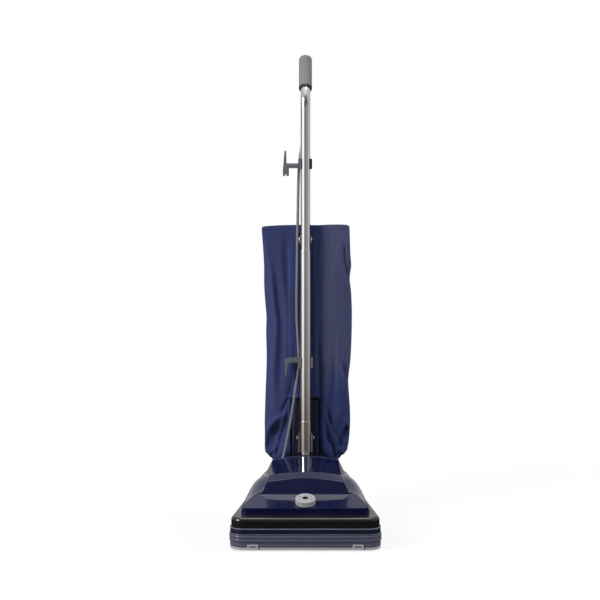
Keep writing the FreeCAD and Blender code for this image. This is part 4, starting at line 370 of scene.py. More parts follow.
moulding("neck_rubber", (0.013, 0.013, 0.014), 0.6, grain=(800, 0.25), dust=0.2)
moulding("fan_plastic", (0.16, 0.17, 0.17), 0.42, edge=(0.0006, (0.3, 0.3, 0.3), 0.5), grain=(800, 0.1), dust=0.35)
moulding("duct_plastic", (0.006, 0.0088, 0.034), 0.55, edge=(0.0005, None, 0.0), grain=(800, 0.12), dust=0.08)
moulding("grip_foam", (0.152, 0.151, 0.165), 0.72, edge=(0.0008, (0.26, 0.26, 0.27), 0.3), grain=(1500, 0.45),
         dust=0.04, mottle=0.16, Sheen_Weight=0.15, Sheen_Roughness=0.5)
moulding("hook_plastic", (0.11, 0.113, 0.125), 0.4, edge=(0.0006, (0.3, 0.3, 0.31), 0.55), grain=(1000, 0.1),
         dust=0.06)
moulding("hook_clip", (0.1, 0.103, 0.118), 0.42, edge=(0.0005, (0.2, 0.2, 0.21), 0.4), dust=0.06)
moulding("switch_plastic", (0.012, 0.012, 0.0125), 0.38, edge=(0.0005, (0.06, 0.06, 0.06), 0.5), dust=0.04)
moulding("carbon_block", (0.03, 0.03, 0.032), 0.55, grain=(1600, 0.3), dust=0)
moulding("lead_jacket", (0.15, 0.165, 0.2), 0.45, edge=(0.0002, None, 0.0), grain=(1500, 0.2), dust=0.05)
moulding("zip_plastic", (0.012, 0.016, 0.045), 0.38, edge=(0.0001, None, 0.0), grain=(2000, 0.1), dust=0.05)

metal("chrome", (0.84, 0.83, 0.815), 0.075, stretch=(1400, 1400, 2.5), lines=0.05, edge=0.0009, tarnish_share=0.07)
metal("zinc", (0.66, 0.665, 0.68), 0.26, stretch=(700, 700, 60), lines=0.16, tarnish_share=0.3)
metal("fork_zinc", (0.62, 0.62, 0.63), 0.26, stretch=(700, 700, 60), lines=0.16, tarnish_share=0.3)
metal("bolt_nickel", (0.82, 0.82, 0.83), 0.3, stretch=(60, 900, 900), tarnish_share=0.1, metallic=0.55)
metal("plate_steel", (0.6, 0.605, 0.62), 0.3, stretch=(5, 1000, 1000), lines=0.14, tarnish_share=0.18, metallic=0.3)
metal("bearing_steel", (0.6, 0.61, 0.63), 0.2, stretch=(900, 5, 900), lines=0.1)
metal("motor_iron", (0.3, 0.29, 0.28), 0.42, stretch=(6, 1800, 6), lines=0.4, tarnish_share=0.35)
metal("copper", (0.82, 0.36, 0.18), 0.26, stretch=(30, 1500, 30), lines=0.5, tarnish=(0.6, 0.5, 0.45),
      tarnish_share=0.3)


def made_with(name):
    """A finished material again: the inputs of its shader, the output of its colour and the place on the piece."""
    tree = FINISHES[name].node_tree
    shader = tree.nodes["Principled BSDF"].inputs
    return shader, shader["Base Color"].links[0].from_socket, tree.nodes.new("ShaderNodeTexCoord").outputs["Object"]


def tone_by_place(name, colour, *levels):
    """Another tone where all the levels hold: (axis, from, to, share at from, share at to)."""
    shader, paint, spot = made_with(name)
    split = axes(spot)
    share = 1.0
    for axis, *stretch in levels:
        share = times(remap(split[axis], *stretch), share)
    feed([mix(share, paint, colour)], [shader["Base Color"]])


# painted light: the guard's ribs paler than its plain band as a painted sheen on their rounded faces, its top lip
# pale as a painted highlight line, the hood's vent ribs paler as a painted highlight; and the hook's black cap
tone_by_place("guard_vinyl", (0.1, 0.102, 0.145), ("Z", 0.0396, 0.0402, 0.85, 0.0))
tone_by_place("guard_vinyl", (0.17, 0.175, 0.23), ("Z", 0.0499, 0.0503, 0.0, 0.9))
tone_by_place("hood_gloss", (0.07, 0.075, 0.16), ("Y", 0.0621, 0.0623), ("Z", 0.148, 0.1485))
tone_by_place("hook_clip", (0.01, 0.01, 0.0105), ("X", 0.004, 0.0045))


def shade_fork_foot(top):
    """Painted shade on the fork's bar and arms, up to the sockets' cheeks: black, matt and not metal, with a ragged
    top edge.
    """
    shader, paint, spot = made_with("fork_zinc")
    ragged_edge = times(remap(noise(spot, 260.0), 0.35, 0.65), 0.0012)
    painted = remap(plus(axes(spot)["Z"], ragged_edge), top, top + 0.0003, 1.0, 0.0)
    for label, value in (("Metallic", 0.0), ("Roughness", 0.5)):
        bare = shader[label]
        before = bare.links[0].from_socket if bare.links else bare.default_value
        made = put(owner(painted), "ShaderNodeMix")
        feed((painted, before, value), (made.inputs[0], made.inputs[2], made.inputs[3]))
        feed([made.outputs[0]], [bare])
    feed([mix(painted, paint, (0.008, 0.008, 0.01))], [shader["Base Color"]])


def shade_knob_holes(top, radius):
    """Painted shade in the socket and the slots in the knob's top, found by their place on its axis."""
    shader, paint, spot = made_with("knob_plastic")
    slope = math.atan2(16, 62)
    out = vector_maths("SUBTRACT", spot, (0, -0.112, 0.09 + 0.023 * math.tan(slope)))
    height = vector_maths("DOT_PRODUCT", out, (0, -math.sin(slope), math.cos(slope)))
    length = vector_maths("LENGTH", out)
    off = maths("SQRT", minus(maths("POWER", length, 2.0), maths("POWER", height, 2.0)))
    deep = remap(height, top - 0.0009, top - 0.0003, 1.0, 0.0)
    hole_shade = times(deep, remap(off, radius - 0.0005, radius, 1.0, 0.0))
    feed([mix(hole_shade, paint, (0.012, 0.012, 0.013))], [shader["Base Color"]])


# painted shade on the fork's foot, which lies in shade below the hood
shade_fork_foot(top=0.172)
shade_knob_holes(top=0.013, radius=0.018)


def make_roll_wood():
    """Turned and lacquered wood of the brush roll."""
    tree, shader, place = start_finish("roll_wood", Coat_Weight=0.3, Coat_Roughness=0.25)
    grain, broad = [effect(tree, drawn_lines, Vector=place["Object"], Stretch=stretch)["Line"]
                    for stretch in ((14.0, 420.0, 420.0), (5.0, 90.0, 90.0))]
    wiped = effect(tree, smudges, Vector=place["Object"])["Patch"]
    paint = mix(times(broad, 0.5), mix(grain, (0.46, 0.27, 0.12), (0.3, 0.15, 0.06)), (0.22, 0.1, 0.04))
    end_finish(shader, paint, plus(0.38, times(wiped, 0.2)), None, (grain, 0.25, 0.0002))


def make_bristle_fibre():
    """Dark nylon bristles, in several tones."""
    tree, shader, place = start_finish("bristle_fibre")
    tone = noise(place["Object"], 900.0, 1.0)
    end_finish(shader, mix(tone, (0.012, 0.012, 0.013), (0.045, 0.043, 0.042)), remap(tone, 0, 1, 0.3, 0.5), None)


def make_paper():
    """Creped brown filter paper."""
    tree, shader, place = start_finish("filter_paper")
    crepe = effect(tree, drawn_lines, Vector=place["Object"], Stretch=(60.0, 60.0, 900.0))["Line"]
    blotch = effect(tree, smudges, Vector=place["Object"], Scale=18.0)["Patch"]
    paint = mix(blotch, (0.56, 0.43, 0.27), (0.46, 0.34, 0.2))
    end_finish(shader, paint, remap(crepe, 0, 1, 0.8, 0.95), None, (crepe, 0.4, 0.0004))


def make_bag_cloth(name, *seams):
    """Navy twill on the piece's own flat map: weave, pilling, fading, rows of stitches (along axis, level), painted
    light on its upper right and painted shade in the weave's hollows.
    """
    tree, shader, place = start_finish(name, Sheen_Weight=0.35, Sheen_Roughness=0.42,
                                       Sheen_Tint=(0.5, 0.6, 0.95, 1))
    spot, flat = place["Object"], axes(place["UV"])
    weave = effect(tree, twill_weave, Vector=place["UV"])
    paint = mix(weave["Shade"], (0.0146, 0.0245, 0.106), (0.0216, 0.035, 0.142))
    fade = remap(noise(spot, 7.0, 4.0, 0.6), 0.35, 0.7)
    paint = mix(times(fade, 0.3), paint, (0.032, 0.047, 0.155))
    split = axes(spot)
    # painted light: the cloth paler on its upper right, where light falls on it
    paler_tone = times(remap(split["X"], 0.005, 0.05), remap(split["Z"], 0.3, 0.38, 0.0, 0.45))
    paint = mix(paler_tone, paint, (0.1, 0.105, 0.17))
    # painted shade in the hollows between the threads
    paint = mix(remap(weave["Height"], 0.1, 0.9, 0.3, 0.0), paint, (0.006, 0.0095, 0.04))
    bumps = [(weave["Height"], 0.35, 0.0003)]
    for along, level in seams:
        across = "Y" if along == "X" else "X"
        row = effect(tree, stitch_row, Along=flat[along], Across=flat[across], Level=level)
        paint = mix(times(row["Thread"], 0.6), paint, (0.07, 0.09, 0.23))
        bumps.append((minus(times(row["Thread"], 0.5), row["Dent"]), 0.5, 0.0007))
    pills = remap(noise(spot, 420.0, 2.0), 0.68, 0.8)
    paint = mix(times(pills, 0.35), paint, (0.09, 0.11, 0.25))
    bumps.append((remap(noise(spot, 34.0), 0.3, 0.7), 0.22, 0.0016))
    end_finish(shader, paint, remap(weave["Shade"], 0, 1, 0.78, 0.92), None, *bumps)


make_roll_wood()
make_bristle_fibre()
make_paper()
make_bag_cloth("bag_twill", ("X", 0.6865), ("X", 0.6955), ("X", 0.1435))
make_bag_cloth("tape_twill", ("Y", 0.0072), ("Y", -0.0072))

NODE_FINISH = {
    "hood_gloss": "hood",
    "body_gloss": "base_housing handle_pedal",
    "guard_vinyl": "furniture_guard",
    "plate_steel": "bottom_plate latch_right latch_left",
    "knob_plastic": "height_knob",
    "zinc": "base_screws carriage_rod front_axle rear_axle pivot_pins bag_hanger motor_bracket zip_slider",
    "fork_zinc": "handle_fork",
    "bolt_nickel": "joint_bolts",
    "matt_black": "knob_cam wheel_carriage brush_end_caps intake_throat exhaust_duct grip_ring bag_collar lead_gland "
                  "cord_inlet",
    "hook_clip": "upper_hook_base",
    "wheel_rubber": "front_wheel_right front_wheel_left rear_wheel_right rear_wheel_left",
    "roll_wood": "brush_roll",
    "belt_rubber": "drive_belt",
    "fan_plastic": "fan_housing fan_impeller brush_holders",
    "duct_plastic": "fill_tube",
    "bearing_steel": "motor_shaft motor_bearings",
    "motor_iron": "armature motor_stator",
    "copper": "commutator field_coils",
    "carbon_block": "carbon_brushes",
    "chrome": "lower_tube middle_tube upper_tube",
    "grip_foam": "grip",
    "hook_plastic": "upper_cord_hook lower_cord_hook",
    "switch_plastic": "switch_housing rocker_switch",
    "filter_paper": "paper_bag",
}
for finish, names in NODE_FINISH.items():
    for name in names.split():
        for material_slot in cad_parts[name].material_slots:
            material_slot.material = FINISHES[finish]


# Shape helpers

def settle(bm, name, *materials, smooth=True):
    """The finished mesh as an object at the origin."""
    mesh = bpy.data.meshes.new(name)
    bm.to_mesh(mesh)
    bm.free()
    for material in materials:
        mesh.materials.append(material)
    if smooth:
        mesh.shade_smooth()
    return add_object(name, mesh)


def grow_rings(bm, rings):
    """A skin through closed rings of points: a first circle, extruded from ring to ring."""
    verts = list(bmesh.ops.create_circle(bm, segments=len(rings[0]), radius=1.0)["verts"])
    rows = []
    for ring in rings:
        if rows:
            edges = [bm.edges.get(pair) for pair in zip(verts, verts[1:] + verts[:1])]
            grown = bmesh.ops.extrude_edge_only(bm, edges=edges)["geom"]
            fresh = {g for g in grown if isinstance(g, bmesh.types.BMVert)}
            verts = [next(e.other_vert(v) for e in v.link_edges if e.other_vert(v) in fresh) for v in verts]
        for v, co in zip(verts, ring):
            v.co = co
        rows.append(verts)
    return rows


def through(table, z):
    """A smooth value between the levels of a table of (level, value)."""
    if z <= table[0][0]:
        return table[0][1]
    if z >= table[-1][0]:
        return table[-1][1]
    i = max(k for k in range(len(table) - 1) if table[k][0] <= z)
    (z0, a), (z1, b) = table[i], table[i + 1]
    before = table[i - 1] if i else (2 * z0 - z1, 2 * a - b)
    after = table[i + 2] if i + 2 < len(table) else (2 * z1 - z0, 2 * b - a)
    slope_a = (b - before[1]) / (z1 - before[0]) * (z1 - z0)
    slope_b = (after[1] - a) / (after[0] - z0) * (z1 - z0)
    t = (z - z0) / (z1 - z0)
    return ((2 * t ** 3 - 3 * t ** 2 + 1) * a + (t ** 3 - 2 * t ** 2 + t) * slope_a
            + (-2 * t ** 3 + 3 * t ** 2) * b + (t ** 3 - t ** 2) * slope_b)


def share_of(value):
    """The value, kept from 0 to 1."""
    return max(0.0, min(1.0, value))


def eased(share):
    """A share from 0 to 1 with soft ends."""
    return share * share * (3 - 2 * share)


def add_wall(piece, thickness):
    """A wall inwards from the skin, in millimetres."""
    wall = piece.modifiers.new("wall", "SOLIDIFY")
    wall.thickness = thickness * MM
    wall.offset = -1


# Surroundings and floor

# the room round the machine as polished metal shows it: (degrees from the camera's side, brightness)
ROOM_BANDS = [(-180, 0.62), (-128, 0.55), (-116, 0.5), (-110, 0.1), (-92, 0.12), (-84, 1.1), (-38, 1.2), (-26, 0.3),
              (-14, 0.2), (0, 0.22), (24, 0.26), (36, 0.4), (42, 0.4), (48, 0.2), (55, 0.2), (62, 0.55),
              (92, 0.55), (108, 0.4), (122, 0.6), (180, 0.62)]
MACHINE_MIDDLE = (0, 0, 0.35)


def room_colour(direction):
    """What polished surfaces see in a direction: panels side by side, dimmer above, dark by the feet."""
    split = axes(direction)
    turn = maths("ARCTAN2", split["X"], times(split["Y"], -1.0))
    room = put(owner(direction), "ShaderNodeValToRGB")
    feed([remap(turn, -math.pi, math.pi)], [room.inputs["Fac"]])
    bands = room.color_ramp.elements
    while len(bands) > 1:
        bands.remove(bands[-1])
    for i, (degrees, level) in enumerate(ROOM_BANDS):
        spot = 0.5 + degrees / 360
        band = bands.new(spot) if i else bands[0]
        band.position = spot
        band.color = (level, level, level, 1)
    above = mix(remap(split["Y"], -0.85, -0.3, 1.0, 0.0), (0.52, 0.52, 0.6), (0.09, 0.09, 0.1))
    colour = mix(remap(split["Z"], 0.05, 0.28), room.outputs["Color"], above)
    colour = mix(remap(split["Z"], 0.7, 0.92), colour, (0.85, 0.85, 0.87))
    floor_side = mix(1.0, colour, (0.46, 0.4, 0.36), job="MULTIPLY")
    colour = mix(remap(split["Z"], -0.26, -0.03, 1.0, 0.0), colour, floor_side)
    return mix(1.0, colour, remap(split["Z"], -0.6, -0.3, 0.12, 1.0), job="MULTIPLY")


def seen_directly(path):
    """1 for what the camera sees, also through clear things."""
    return plus(path["Is Camera Ray"], path["Is Transmission Ray"], clamp=True)


def mix_shaders(share, a, b):
    """A mix of two shaders."""
    made = put(owner(share), "ShaderNodeMixShader")
    feed((share, a, b), made.inputs)
    return made.outputs[0]


def make_studio():
    """One wide pale sheet as the floor, which turns to plain white away from the machine."""
    bm = bmesh.new()
    bmesh.ops.create_grid(bm, x_segments=1, y_segments=1, size=30)
    material = bpy.data.materials.new("floor_paper")
    material.use_nodes = True
    tree = material.node_tree
    tree.nodes.remove(tree.nodes["Principled BSDF"])
    path = put(tree, "ShaderNodeLightPath").outputs
    place = put(tree, "ShaderNodeTexCoord").outputs["Object"]
    plain = put(tree, "ShaderNodeBsdfDiffuse")
    feed([mix(path["Is Diffuse Ray"], (0.88, 0.88, 0.89), (0.3, 0.3, 0.31))], [plain.inputs["Color"]])
    glow = put(tree, "ShaderNodeEmission", Color=(1, 1, 1, 1), Strength=1.0)
    white = remap(vector_maths("LENGTH", place), 0.35, 1.3, 0.86, 1.0)
    paper = mix_shaders(times(seen_directly(path), white), plain.outputs[0], glow.outputs[0])
    mirrored = put(tree, "ShaderNodeEmission", Strength=1.0)
    direction = vector_maths("NORMALIZE", vector_maths("SUBTRACT", place, MACHINE_MIDDLE))
    feed([room_colour(direction)], [mirrored.inputs["Color"]])
    sheet = mix_shaders(path["Is Glossy Ray"], paper, mirrored.outputs[0])
    feed([sheet], [tree.nodes["Material Output"].inputs["Surface"]])
    floor = settle(bm, "studio_floor", material, smooth=False)


def make_world():
    """Even pale surroundings, seen as white, with the room in reflections."""
    world = bpy.data.worlds.new("studio_air")
    world.use_nodes = True
    tree = world.node_tree
    shade = tree.nodes["Background"]
    path = put(tree, "ShaderNodeLightPath").outputs
    mirrored = room_colour(put(tree, "ShaderNodeTexCoord").outputs["Generated"])
    plain = mix(path["Is Glossy Ray"], (0.28, 0.28, 0.29), mirrored)
    feed((mix(seen_directly(path), plain, (1, 1, 1)), 1.0), (shade.inputs["Color"], shade.inputs["Strength"]))
    feed([shade.outputs[0]], [tree.nodes["World Output"].inputs["Surface"]])
    scene.world = world


make_studio()
make_world()


# Cloth bag, in millimetres: (level, reach) of its outline, and folds as (width, height, line of points)

BAG_LEFT = [(137, -74), (150, -84.5), (164, -96), (170, -98.6), (178, -98.8), (215, -98), (241, -98.2),
            (305, -95.8), (391, -92.4), (454, -93.3), (488, -92.2), (520, -94.6), (562, -97.2), (611, -97.1),
            (653, -99.1), (693, -101.6), (699, -101.0)]
BAG_RIGHT = [(137, 74), (150, 85.5), (164, 98), (171, 102), (180, 103), (208, 105.9), (252, 107.5), (295, 105),
             (338, 102.4), (391, 107.5), (454, 110), (509, 110), (552, 107.6), (581, 104.1), (611, 107.9),
             (636, 105.6), (678, 103.4), (699, 102.3)]
BAG_FRONT = [(137, 133), (166, 114), (215, 106.6), (270, 105.2), (350, 105), (640, 105), (699, 105.6)]
BAG_REAR = [(137, 145), (166, 161), (215, 168.5), (270, 171.2), (450, 171.4), (560, 160.5), (640, 138.5),
            (685, 117), (699, 112.4)]
BAG_TOP_RISE = [(-104, -3.5), (-101, -1.2), (-97, 0.6), (-85, 1.6), (-60, 3.1), (-10, 4.2), (30, 3.4), (60, 4.8),
                (94, 4.4), (100, 2.4), (104, -1.5)]
FRONT_FOLDS = [
    (7, 4.6, [(-94, 668), (-81, 597), (-75, 534), (-68, 471), (-70, 438), (-76, 353), (-73, 290), (-80, 252)]),
    (8, -3.4, [(-70, 600), (-60, 520), (-53, 450), (-58, 350), (-56, 300)]),
    (7, 6.0, [(-94, 208), (-80, 230), (-67, 243), (-50, 255), (-40, 250)]),
    (17, -11.0, [(-80, 158), (-76, 188), (-62, 214), (-48, 230)]),
    (7, 3.4, [(-82, 164), (-62, 176), (-46, 166)]),
    (6, 3.6, [(52, 408), (47, 385), (51, 332), (43, 247), (43, 161)]),
    (7, -3.2, [(66, 410), (64, 330), (58, 250), (58, 180)]),
    (7, 3.2, [(74, 440), (80, 343), (81, 268), (74, 215)]),
    (15, -10.5, [(99, 232), (87, 206), (78, 182), (72, 160)]),
    (6, 4.0, [(104, 246), (86, 228), (70, 208)]),
    (5, -4.5, [(106, 580), (94, 590), (88, 620), (90, 660)]),
    (6, 3.6, [(96, 548), (88, 590), (82, 640), (84, 672)]),
    (6, -4.5, [(104, 338), (92, 350), (84, 378)]),
    (8, 2.2, [(-28, 668), (-31, 520), (-27, 400), (-30, 320)]),
    (7, 2.0, [(30, 650), (34, 560), (28, 470), (31, 400)]),
    (9, -2.4, [(-45, 680), (-44, 600), (-40, 540)]),
]
REAR_FOLDS = [
    (8, -4.5, [(-26, 478), (-40, 520), (-62, 566), (-80, 600)]),
    (8, -4.0, [(26, 478), (44, 528), (60, 580), (86, 610)]),
    (8, 4.0, [(-14, 486), (-24, 560), (-44, 620), (-52, 660)]),
    (7, 4.0, [(16, 486), (30, 566), (36, 640)]),
    (9, -5.0, [(-98, 300), (-70, 310), (-40, 290), (-16, 300)]),
    (7, 4.0, [(-96, 276), (-66, 284), (-36, 266), (-14, 262)]),
    (9, -5.0, [(104, 330), (72, 336), (44, 318), (16, 322)]),
    (8, 4.5, [(100, 300), (72, 306), (40, 292), (14, 286)]),
    (10, -8.0, [(-80, 190), (-40, 214), (-14, 224)]),
    (10, -8.0, [(84, 186), (50, 206), (16, 220)]),
    (7, 3.0, [(-60, 440), (-66, 400), (-58, 352)]),
    (7, -3.0, [(60, 450), (70, 410), (64, 372)]),
]
FOLD_STRENGTH = 1.35
FOLD_FADE = 0.22
POCKET_HALF, POCKET_BACK, POCKET_TOP = 32.0, 128.6, 291.6
ZIP_BAND, ZIP_FOOT, ZIP_TOP = 13.0, 226, 476
BAG_TOP, BAG_FOOT = 699.0, 137.0
BAG_NEAREST, BAG_FARTHEST, ZIP_FARTHEST = 104.4, 173.6, 171.6
BAG_COLUMNS = 84
SEAM_COLUMNS = {0, BAG_COLUMNS}
PAPER_BOX = [[c / MM for c in corner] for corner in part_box("paper_bag")]
CLOTH = {
    "quality": 4,
    "mass": 0.2,
    "tension_stiffness": 9,
    "compression_stiffness": 9,
    "shear_stiffness": 3,
    "bending_stiffness": 0.25,
    "tension_damping": 8,
    "compression_damping": 8,
    "air_damping": 3,
    "vertex_group_mass": "held",
    "shrink_min": -0.022,
    "use_pressure": True,
    "uniform_pressure_force": 0.25,
}
SAG_STEPS = 24
SAG_LIMIT = 0.008
SIDE_SHARE = 0.12


def fold_push(folds, x, z):
    """How far the folds push the cloth out at one point of a face."""
    total = 0.0
    here = Vector((x, z))
    for width, height, line in folds:
        best, share, run = 1e9, 0.0, 0.0
        spans = [(Vector(b) - Vector(a)).length for a, b in zip(line, line[1:])]
        whole = sum(spans)
        for a, b, span in zip(line, line[1:], spans):
            a, b = Vector(a), Vector(b)
            t = share_of((here - a).dot(b - a) / span ** 2)
            gap = (here - a.lerp(b, t)).length
            if gap < best:
                best, share = gap, (run + t * span) / whole
            run += span
        if best < 3 * width:
            ends = eased(min(1.0, share / FOLD_FADE, (1 - share) / FOLD_FADE))
            total += FOLD_STRENGTH * height * math.exp(-(best / width) ** 2) * (0.15 + 0.85 * ends)
    return total


def lift_hem(bm):
    """The waved top edge of the bag with its rounded corners."""
    for v in bm.verts:
        share = share_of((v.co.z / MM - 660) / 36)
        v.co.z += through(BAG_TOP_RISE, v.co.x / MM) * eased(share) * MM


def outside_filter(x, y, z, slack):
    """The cloth's rear kept off the full paper bag, which is an arc across and straight up."""
    low, high = PAPER_BOX
    centre, half, mid = (low[0] + high[0]) / 2, (high[0] - low[0]) / 2, (low[1] + high[1]) / 2
    off = abs(x - centre)
    beyond = max(off - half, low[2] - z, z - high[2], 0.0)
    arc = mid + (high[1] - mid) * max(0.0, 1 - (off / half) ** 2)
    return max(y, arc + slack - 0.8 * beyond)


def bag_section(z):
    """One level of the bag: points from the left seam over the front and back round."""
    left, right = through(BAG_LEFT, z), through(BAG_RIGHT, z)
    front, rear = through(BAG_FRONT, z), through(BAG_REAR, z)
    side = (front + rear) / 2
    half = (right - left) / 2
    near_top = share_of((z - 640) / 50)
    ring = []
    for face, reach in ((-1, side - front), (1, rear - side)):
        for i in range(BAG_COLUMNS):
            t = i / BAG_COLUMNS
            spread = 0.3 * (0.5 - 0.5 * math.cos(math.pi * t)) + 0.7 * t
            u = 2 * spread - 1
            if face > 0:
                u = -u
            x = (left + right) / 2 + half * u
            fullness = (1 - abs(u) ** (2.2 + 3 * near_top)) ** (0.85 - 0.25 * near_top)
            ring.append(Vector((x, side + face * reach * fullness, z)))
    return ring


def bag_levels():
    """The levels of the bag's rings, closer together at both ends."""
    levels, z = [], BAG_FOOT
    while z < 686:
        levels.append(z)
        z += 4.2 if z > 170 else 3.0
    return levels + [687.4, 690.6, 693.4, 696.0, 698.0, BAG_TOP]


def map_flat(bm, rows, rings, levels):
    """The bag's flat map in metres: the run round each ring from the left seam, and the level."""
    flat, whole = {}, []
    for r, ring in enumerate(rings):
        run = 0.0
        for c, p in enumerate(ring):
            if c:
                run += (p - ring[c - 1]).length
            flat[rows[r][c]] = (r, c, run)
        whole.append(run + (ring[0] - ring[-1]).length)
    layer = bm.loops.layers.uv.new("flat")
    for face in bm.faces:
        columns = [flat[v][1] for v in face.verts]
        wraps = 0 in columns and len(rings[0]) - 1 in columns
        for loop in face.loops:
            r, c, run = flat[loop.vert]
            if wraps and c == 0:
                run = whole[r]
            loop[layer].uv = (run * MM, levels[r] * MM)


def held_fast(co):
    """Where the cloth doesn't sag: the hems, the pocket round the spigot and the zip."""
    over_pocket = abs(co.x) < 0.040 and co.z < 0.300 and co.y < 0.132
    return co.z > 0.682 or co.z < 0.146 or over_pocket or (abs(co.x) < 0.016 and co.y > 0.15)


def let_sag(bag):
    """Lets the cloth sag between its held places; it hardly moves sideways."""
    start = [v.co.copy() for v in bag.data.vertices]
    held = [i for i, co in enumerate(start) if held_fast(co)]
    bag.vertex_groups.new(name="held").add(held, 1.0, "REPLACE")
    sag = bag.modifiers.new("sag", "CLOTH")
    for key, value in CLOTH.items():
        setattr(sag.settings, key, value)
    sag.collision_settings.use_collision = False
    for step in range(1, SAG_STEPS + 1):
        scene.frame_set(step)
    settled = bag.evaluated_get(bpy.context.evaluated_depsgraph_get()).to_mesh()
    moved = [v.co.copy() for v in settled.vertices]
    bag.modifiers.clear()
    bag.vertex_groups.clear()
    scene.frame_set(1)
    for v, before, after in zip(bag.data.vertices, start, moved):
        push = after - before
        push.x *= SIDE_SHARE
        if push.length > SAG_LIMIT:
            push *= SAG_LIMIT / push.length
        v.co = before + push


def press_folds(bm, place):
    """Folds on both faces, calm by the hems, the seams and the zip."""
    for v, (_, c) in zip(bm.verts, place):
        x, z = v.co.x / MM, v.co.z / MM
        front = c < BAG_COLUMNS
        calm = share_of((688 - z) / 30) * share_of((z - 140) / 14)
        if not front and ZIP_FOOT < z < ZIP_TOP + 4:
            calm *= share_of((abs(x) - 11) / 10)
        push = fold_push(FRONT_FOLDS if front else REAR_FOLDS, x, z) * calm
        seam = min(1.0, min(abs(x - through(BAG_LEFT, z)), abs(x - through(BAG_RIGHT, z))) / 9)
        v.co.y += (-push if front else push) * seam * MM


def keep_clear(bm, place):
    """Cloth off the tubes, the pocket's back and the paper bag, with thicker seams and a thicker top hem."""
    for v, (_, c) in zip(bm.verts, place):
        x, y, z = (part / MM for part in v.co)
        front = c < BAG_COLUMNS
        if front:
            y = max(y, BAG_NEAREST)
            if y < POCKET_BACK and abs(x) < POCKET_HALF + 1.6 and z < POCKET_TOP + 0.5:
                y = POCKET_BACK
        else:
            y = min(outside_filter(x, y, z, 3.4), BAG_FARTHEST)
            if abs(x) < ZIP_BAND and ZIP_FOOT < z < ZIP_TOP:
                y = min(y, ZIP_FARTHEST)
        if c in SEAM_COLUMNS:
            x += 1.3 if c else -1.3
        if 686.6 < z < 698.5:
            y += -0.35 if front else 0.35
        v.co = Vector((x, y, z)) * MM
    smooth = [v for v, (_, c) in zip(bm.verts, place) if c not in SEAM_COLUMNS and v.co.z < 0.684
              and not (v.co.z < 0.30 and abs(v.co.x) < 0.044 and c < BAG_COLUMNS)]
    bmesh.ops.smooth_vert(bm, verts=smooth, factor=0.4, use_axis_x=False, use_axis_y=True, use_axis_z=False)
    for v, (_, c) in zip(bm.verts, place):
        if c > BAG_COLUMNS:
            v.co.y = outside_filter(v.co.x / MM, v.co.y / MM, v.co.z / MM, 2.8) * MM


def close_ends(bm, place):
    """The closed foot and top, each drawn to one line."""
    ends = [{v for v, (r, _) in zip(bm.verts, place) if r == row} for row in (0, max(place)[0])]
    loops = [[e for e in bm.edges if e.is_boundary and end.issuperset(e.verts)] for end in ends]
    for edges, height in zip(loops, (BAG_FOOT - 0.6, BAG_TOP + 0.2)):
        grown = bmesh.ops.extrude_edge_only(bm, edges=edges)["geom"]
        closed = [g for g in grown if isinstance(g, bmesh.types.BMVert)]
        middle = sum(v.co.y for v in closed) / len(closed)
        for v in closed:
            v.co.y = middle
            v.co.z = height * MM
        bmesh.ops.remove_doubles(bm, verts=closed, dist=0.0006)


def over_spigot(co):
    """Where the bag's front is open round the spigot."""
    return math.hypot(co.x, co.z - 0.25) < 0.0185 and co.y < 0.133


def make_cloth_bag():
    """The slack cloth bag: lofted, let sag, then folded as it hangs."""
    levels = bag_levels()
    rings = [bag_section(z) for z in levels]
    bm = bmesh.new()
    rows = grow_rings(bm, [[p * MM for p in ring] for ring in rings])
    map_flat(bm, rows, rings, levels)
    where = {v: (r, c) for r, row in enumerate(rows) for c, v in enumerate(row)}
    place = [where[v] for v in bm.verts]
    bmesh.ops.recalc_face_normals(bm, faces=bm.faces)
    bag = settle(bm, "cloth_bag", FINISHES["bag_twill"])
    let_sag(bag)
    bm = bmesh.new()
    bm.from_mesh(bag.data)
    press_folds(bm, place)
    keep_clear(bm, place)
    close_ends(bm, place)
    opening = [f for f in bm.faces if over_spigot(f.calc_center_median())]
    bmesh.ops.delete(bm, geom=opening, context="FACES")
    lift_hem(bm)
    bmesh.ops.recalc_face_normals(bm, faces=bm.faces)
    bm.to_mesh(bag.data)
    bm.free()
    bag.data.shade_smooth()
    add_wall(bag, 1.2)
    finer = bag.modifiers.new("finer", "SUBSURF")
    finer.levels = finer.render_levels = 1
    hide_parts("dust_bag")
    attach(bag, "handle")
    return bag


cloth_bag = make_cloth_bag()


# Zip on the back of the bag

TOOTH_SIZE = (2.4 * MM, 0.9 * MM, 1.1 * MM)
TOOTH_PITCH = 2.4 * MM


def make_zip_tape():
    """The zip's cloth tape, with a folded edge each side."""
    low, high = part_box("bag_zip")
    bm = bmesh.new()
    bmesh.ops.create_grid(bm, x_segments=12, y_segments=60, size=1)
    layer = bm.loops.layers.uv.new("flat")
    for v in bm.verts:
        x, z = v.co.x, v.co.y
        y = low[1] + 0.0001 + 0.0004 * (1 - abs(x) ** 4)
        v.co = Vector((x * high[0], y, (low[2] + high[2]) / 2 + z * (high[2] - low[2]) / 2))
    for face in bm.faces:
        for loop in face.loops:
            loop[layer].uv = (loop.vert.co.x, loop.vert.co.z)
    bmesh.ops.recalc_face_normals(bm, faces=bm.faces)
    if sum(f.normal.y for f in bm.faces) < 0:
        bmesh.ops.reverse_faces(bm, faces=bm.faces)
    tape = settle(bm, "zip_tape", FINISHES["tape_twill"])
    add_wall(tape, 0.5)
    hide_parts("bag_zip")
    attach(tape, "handle")
    return tape


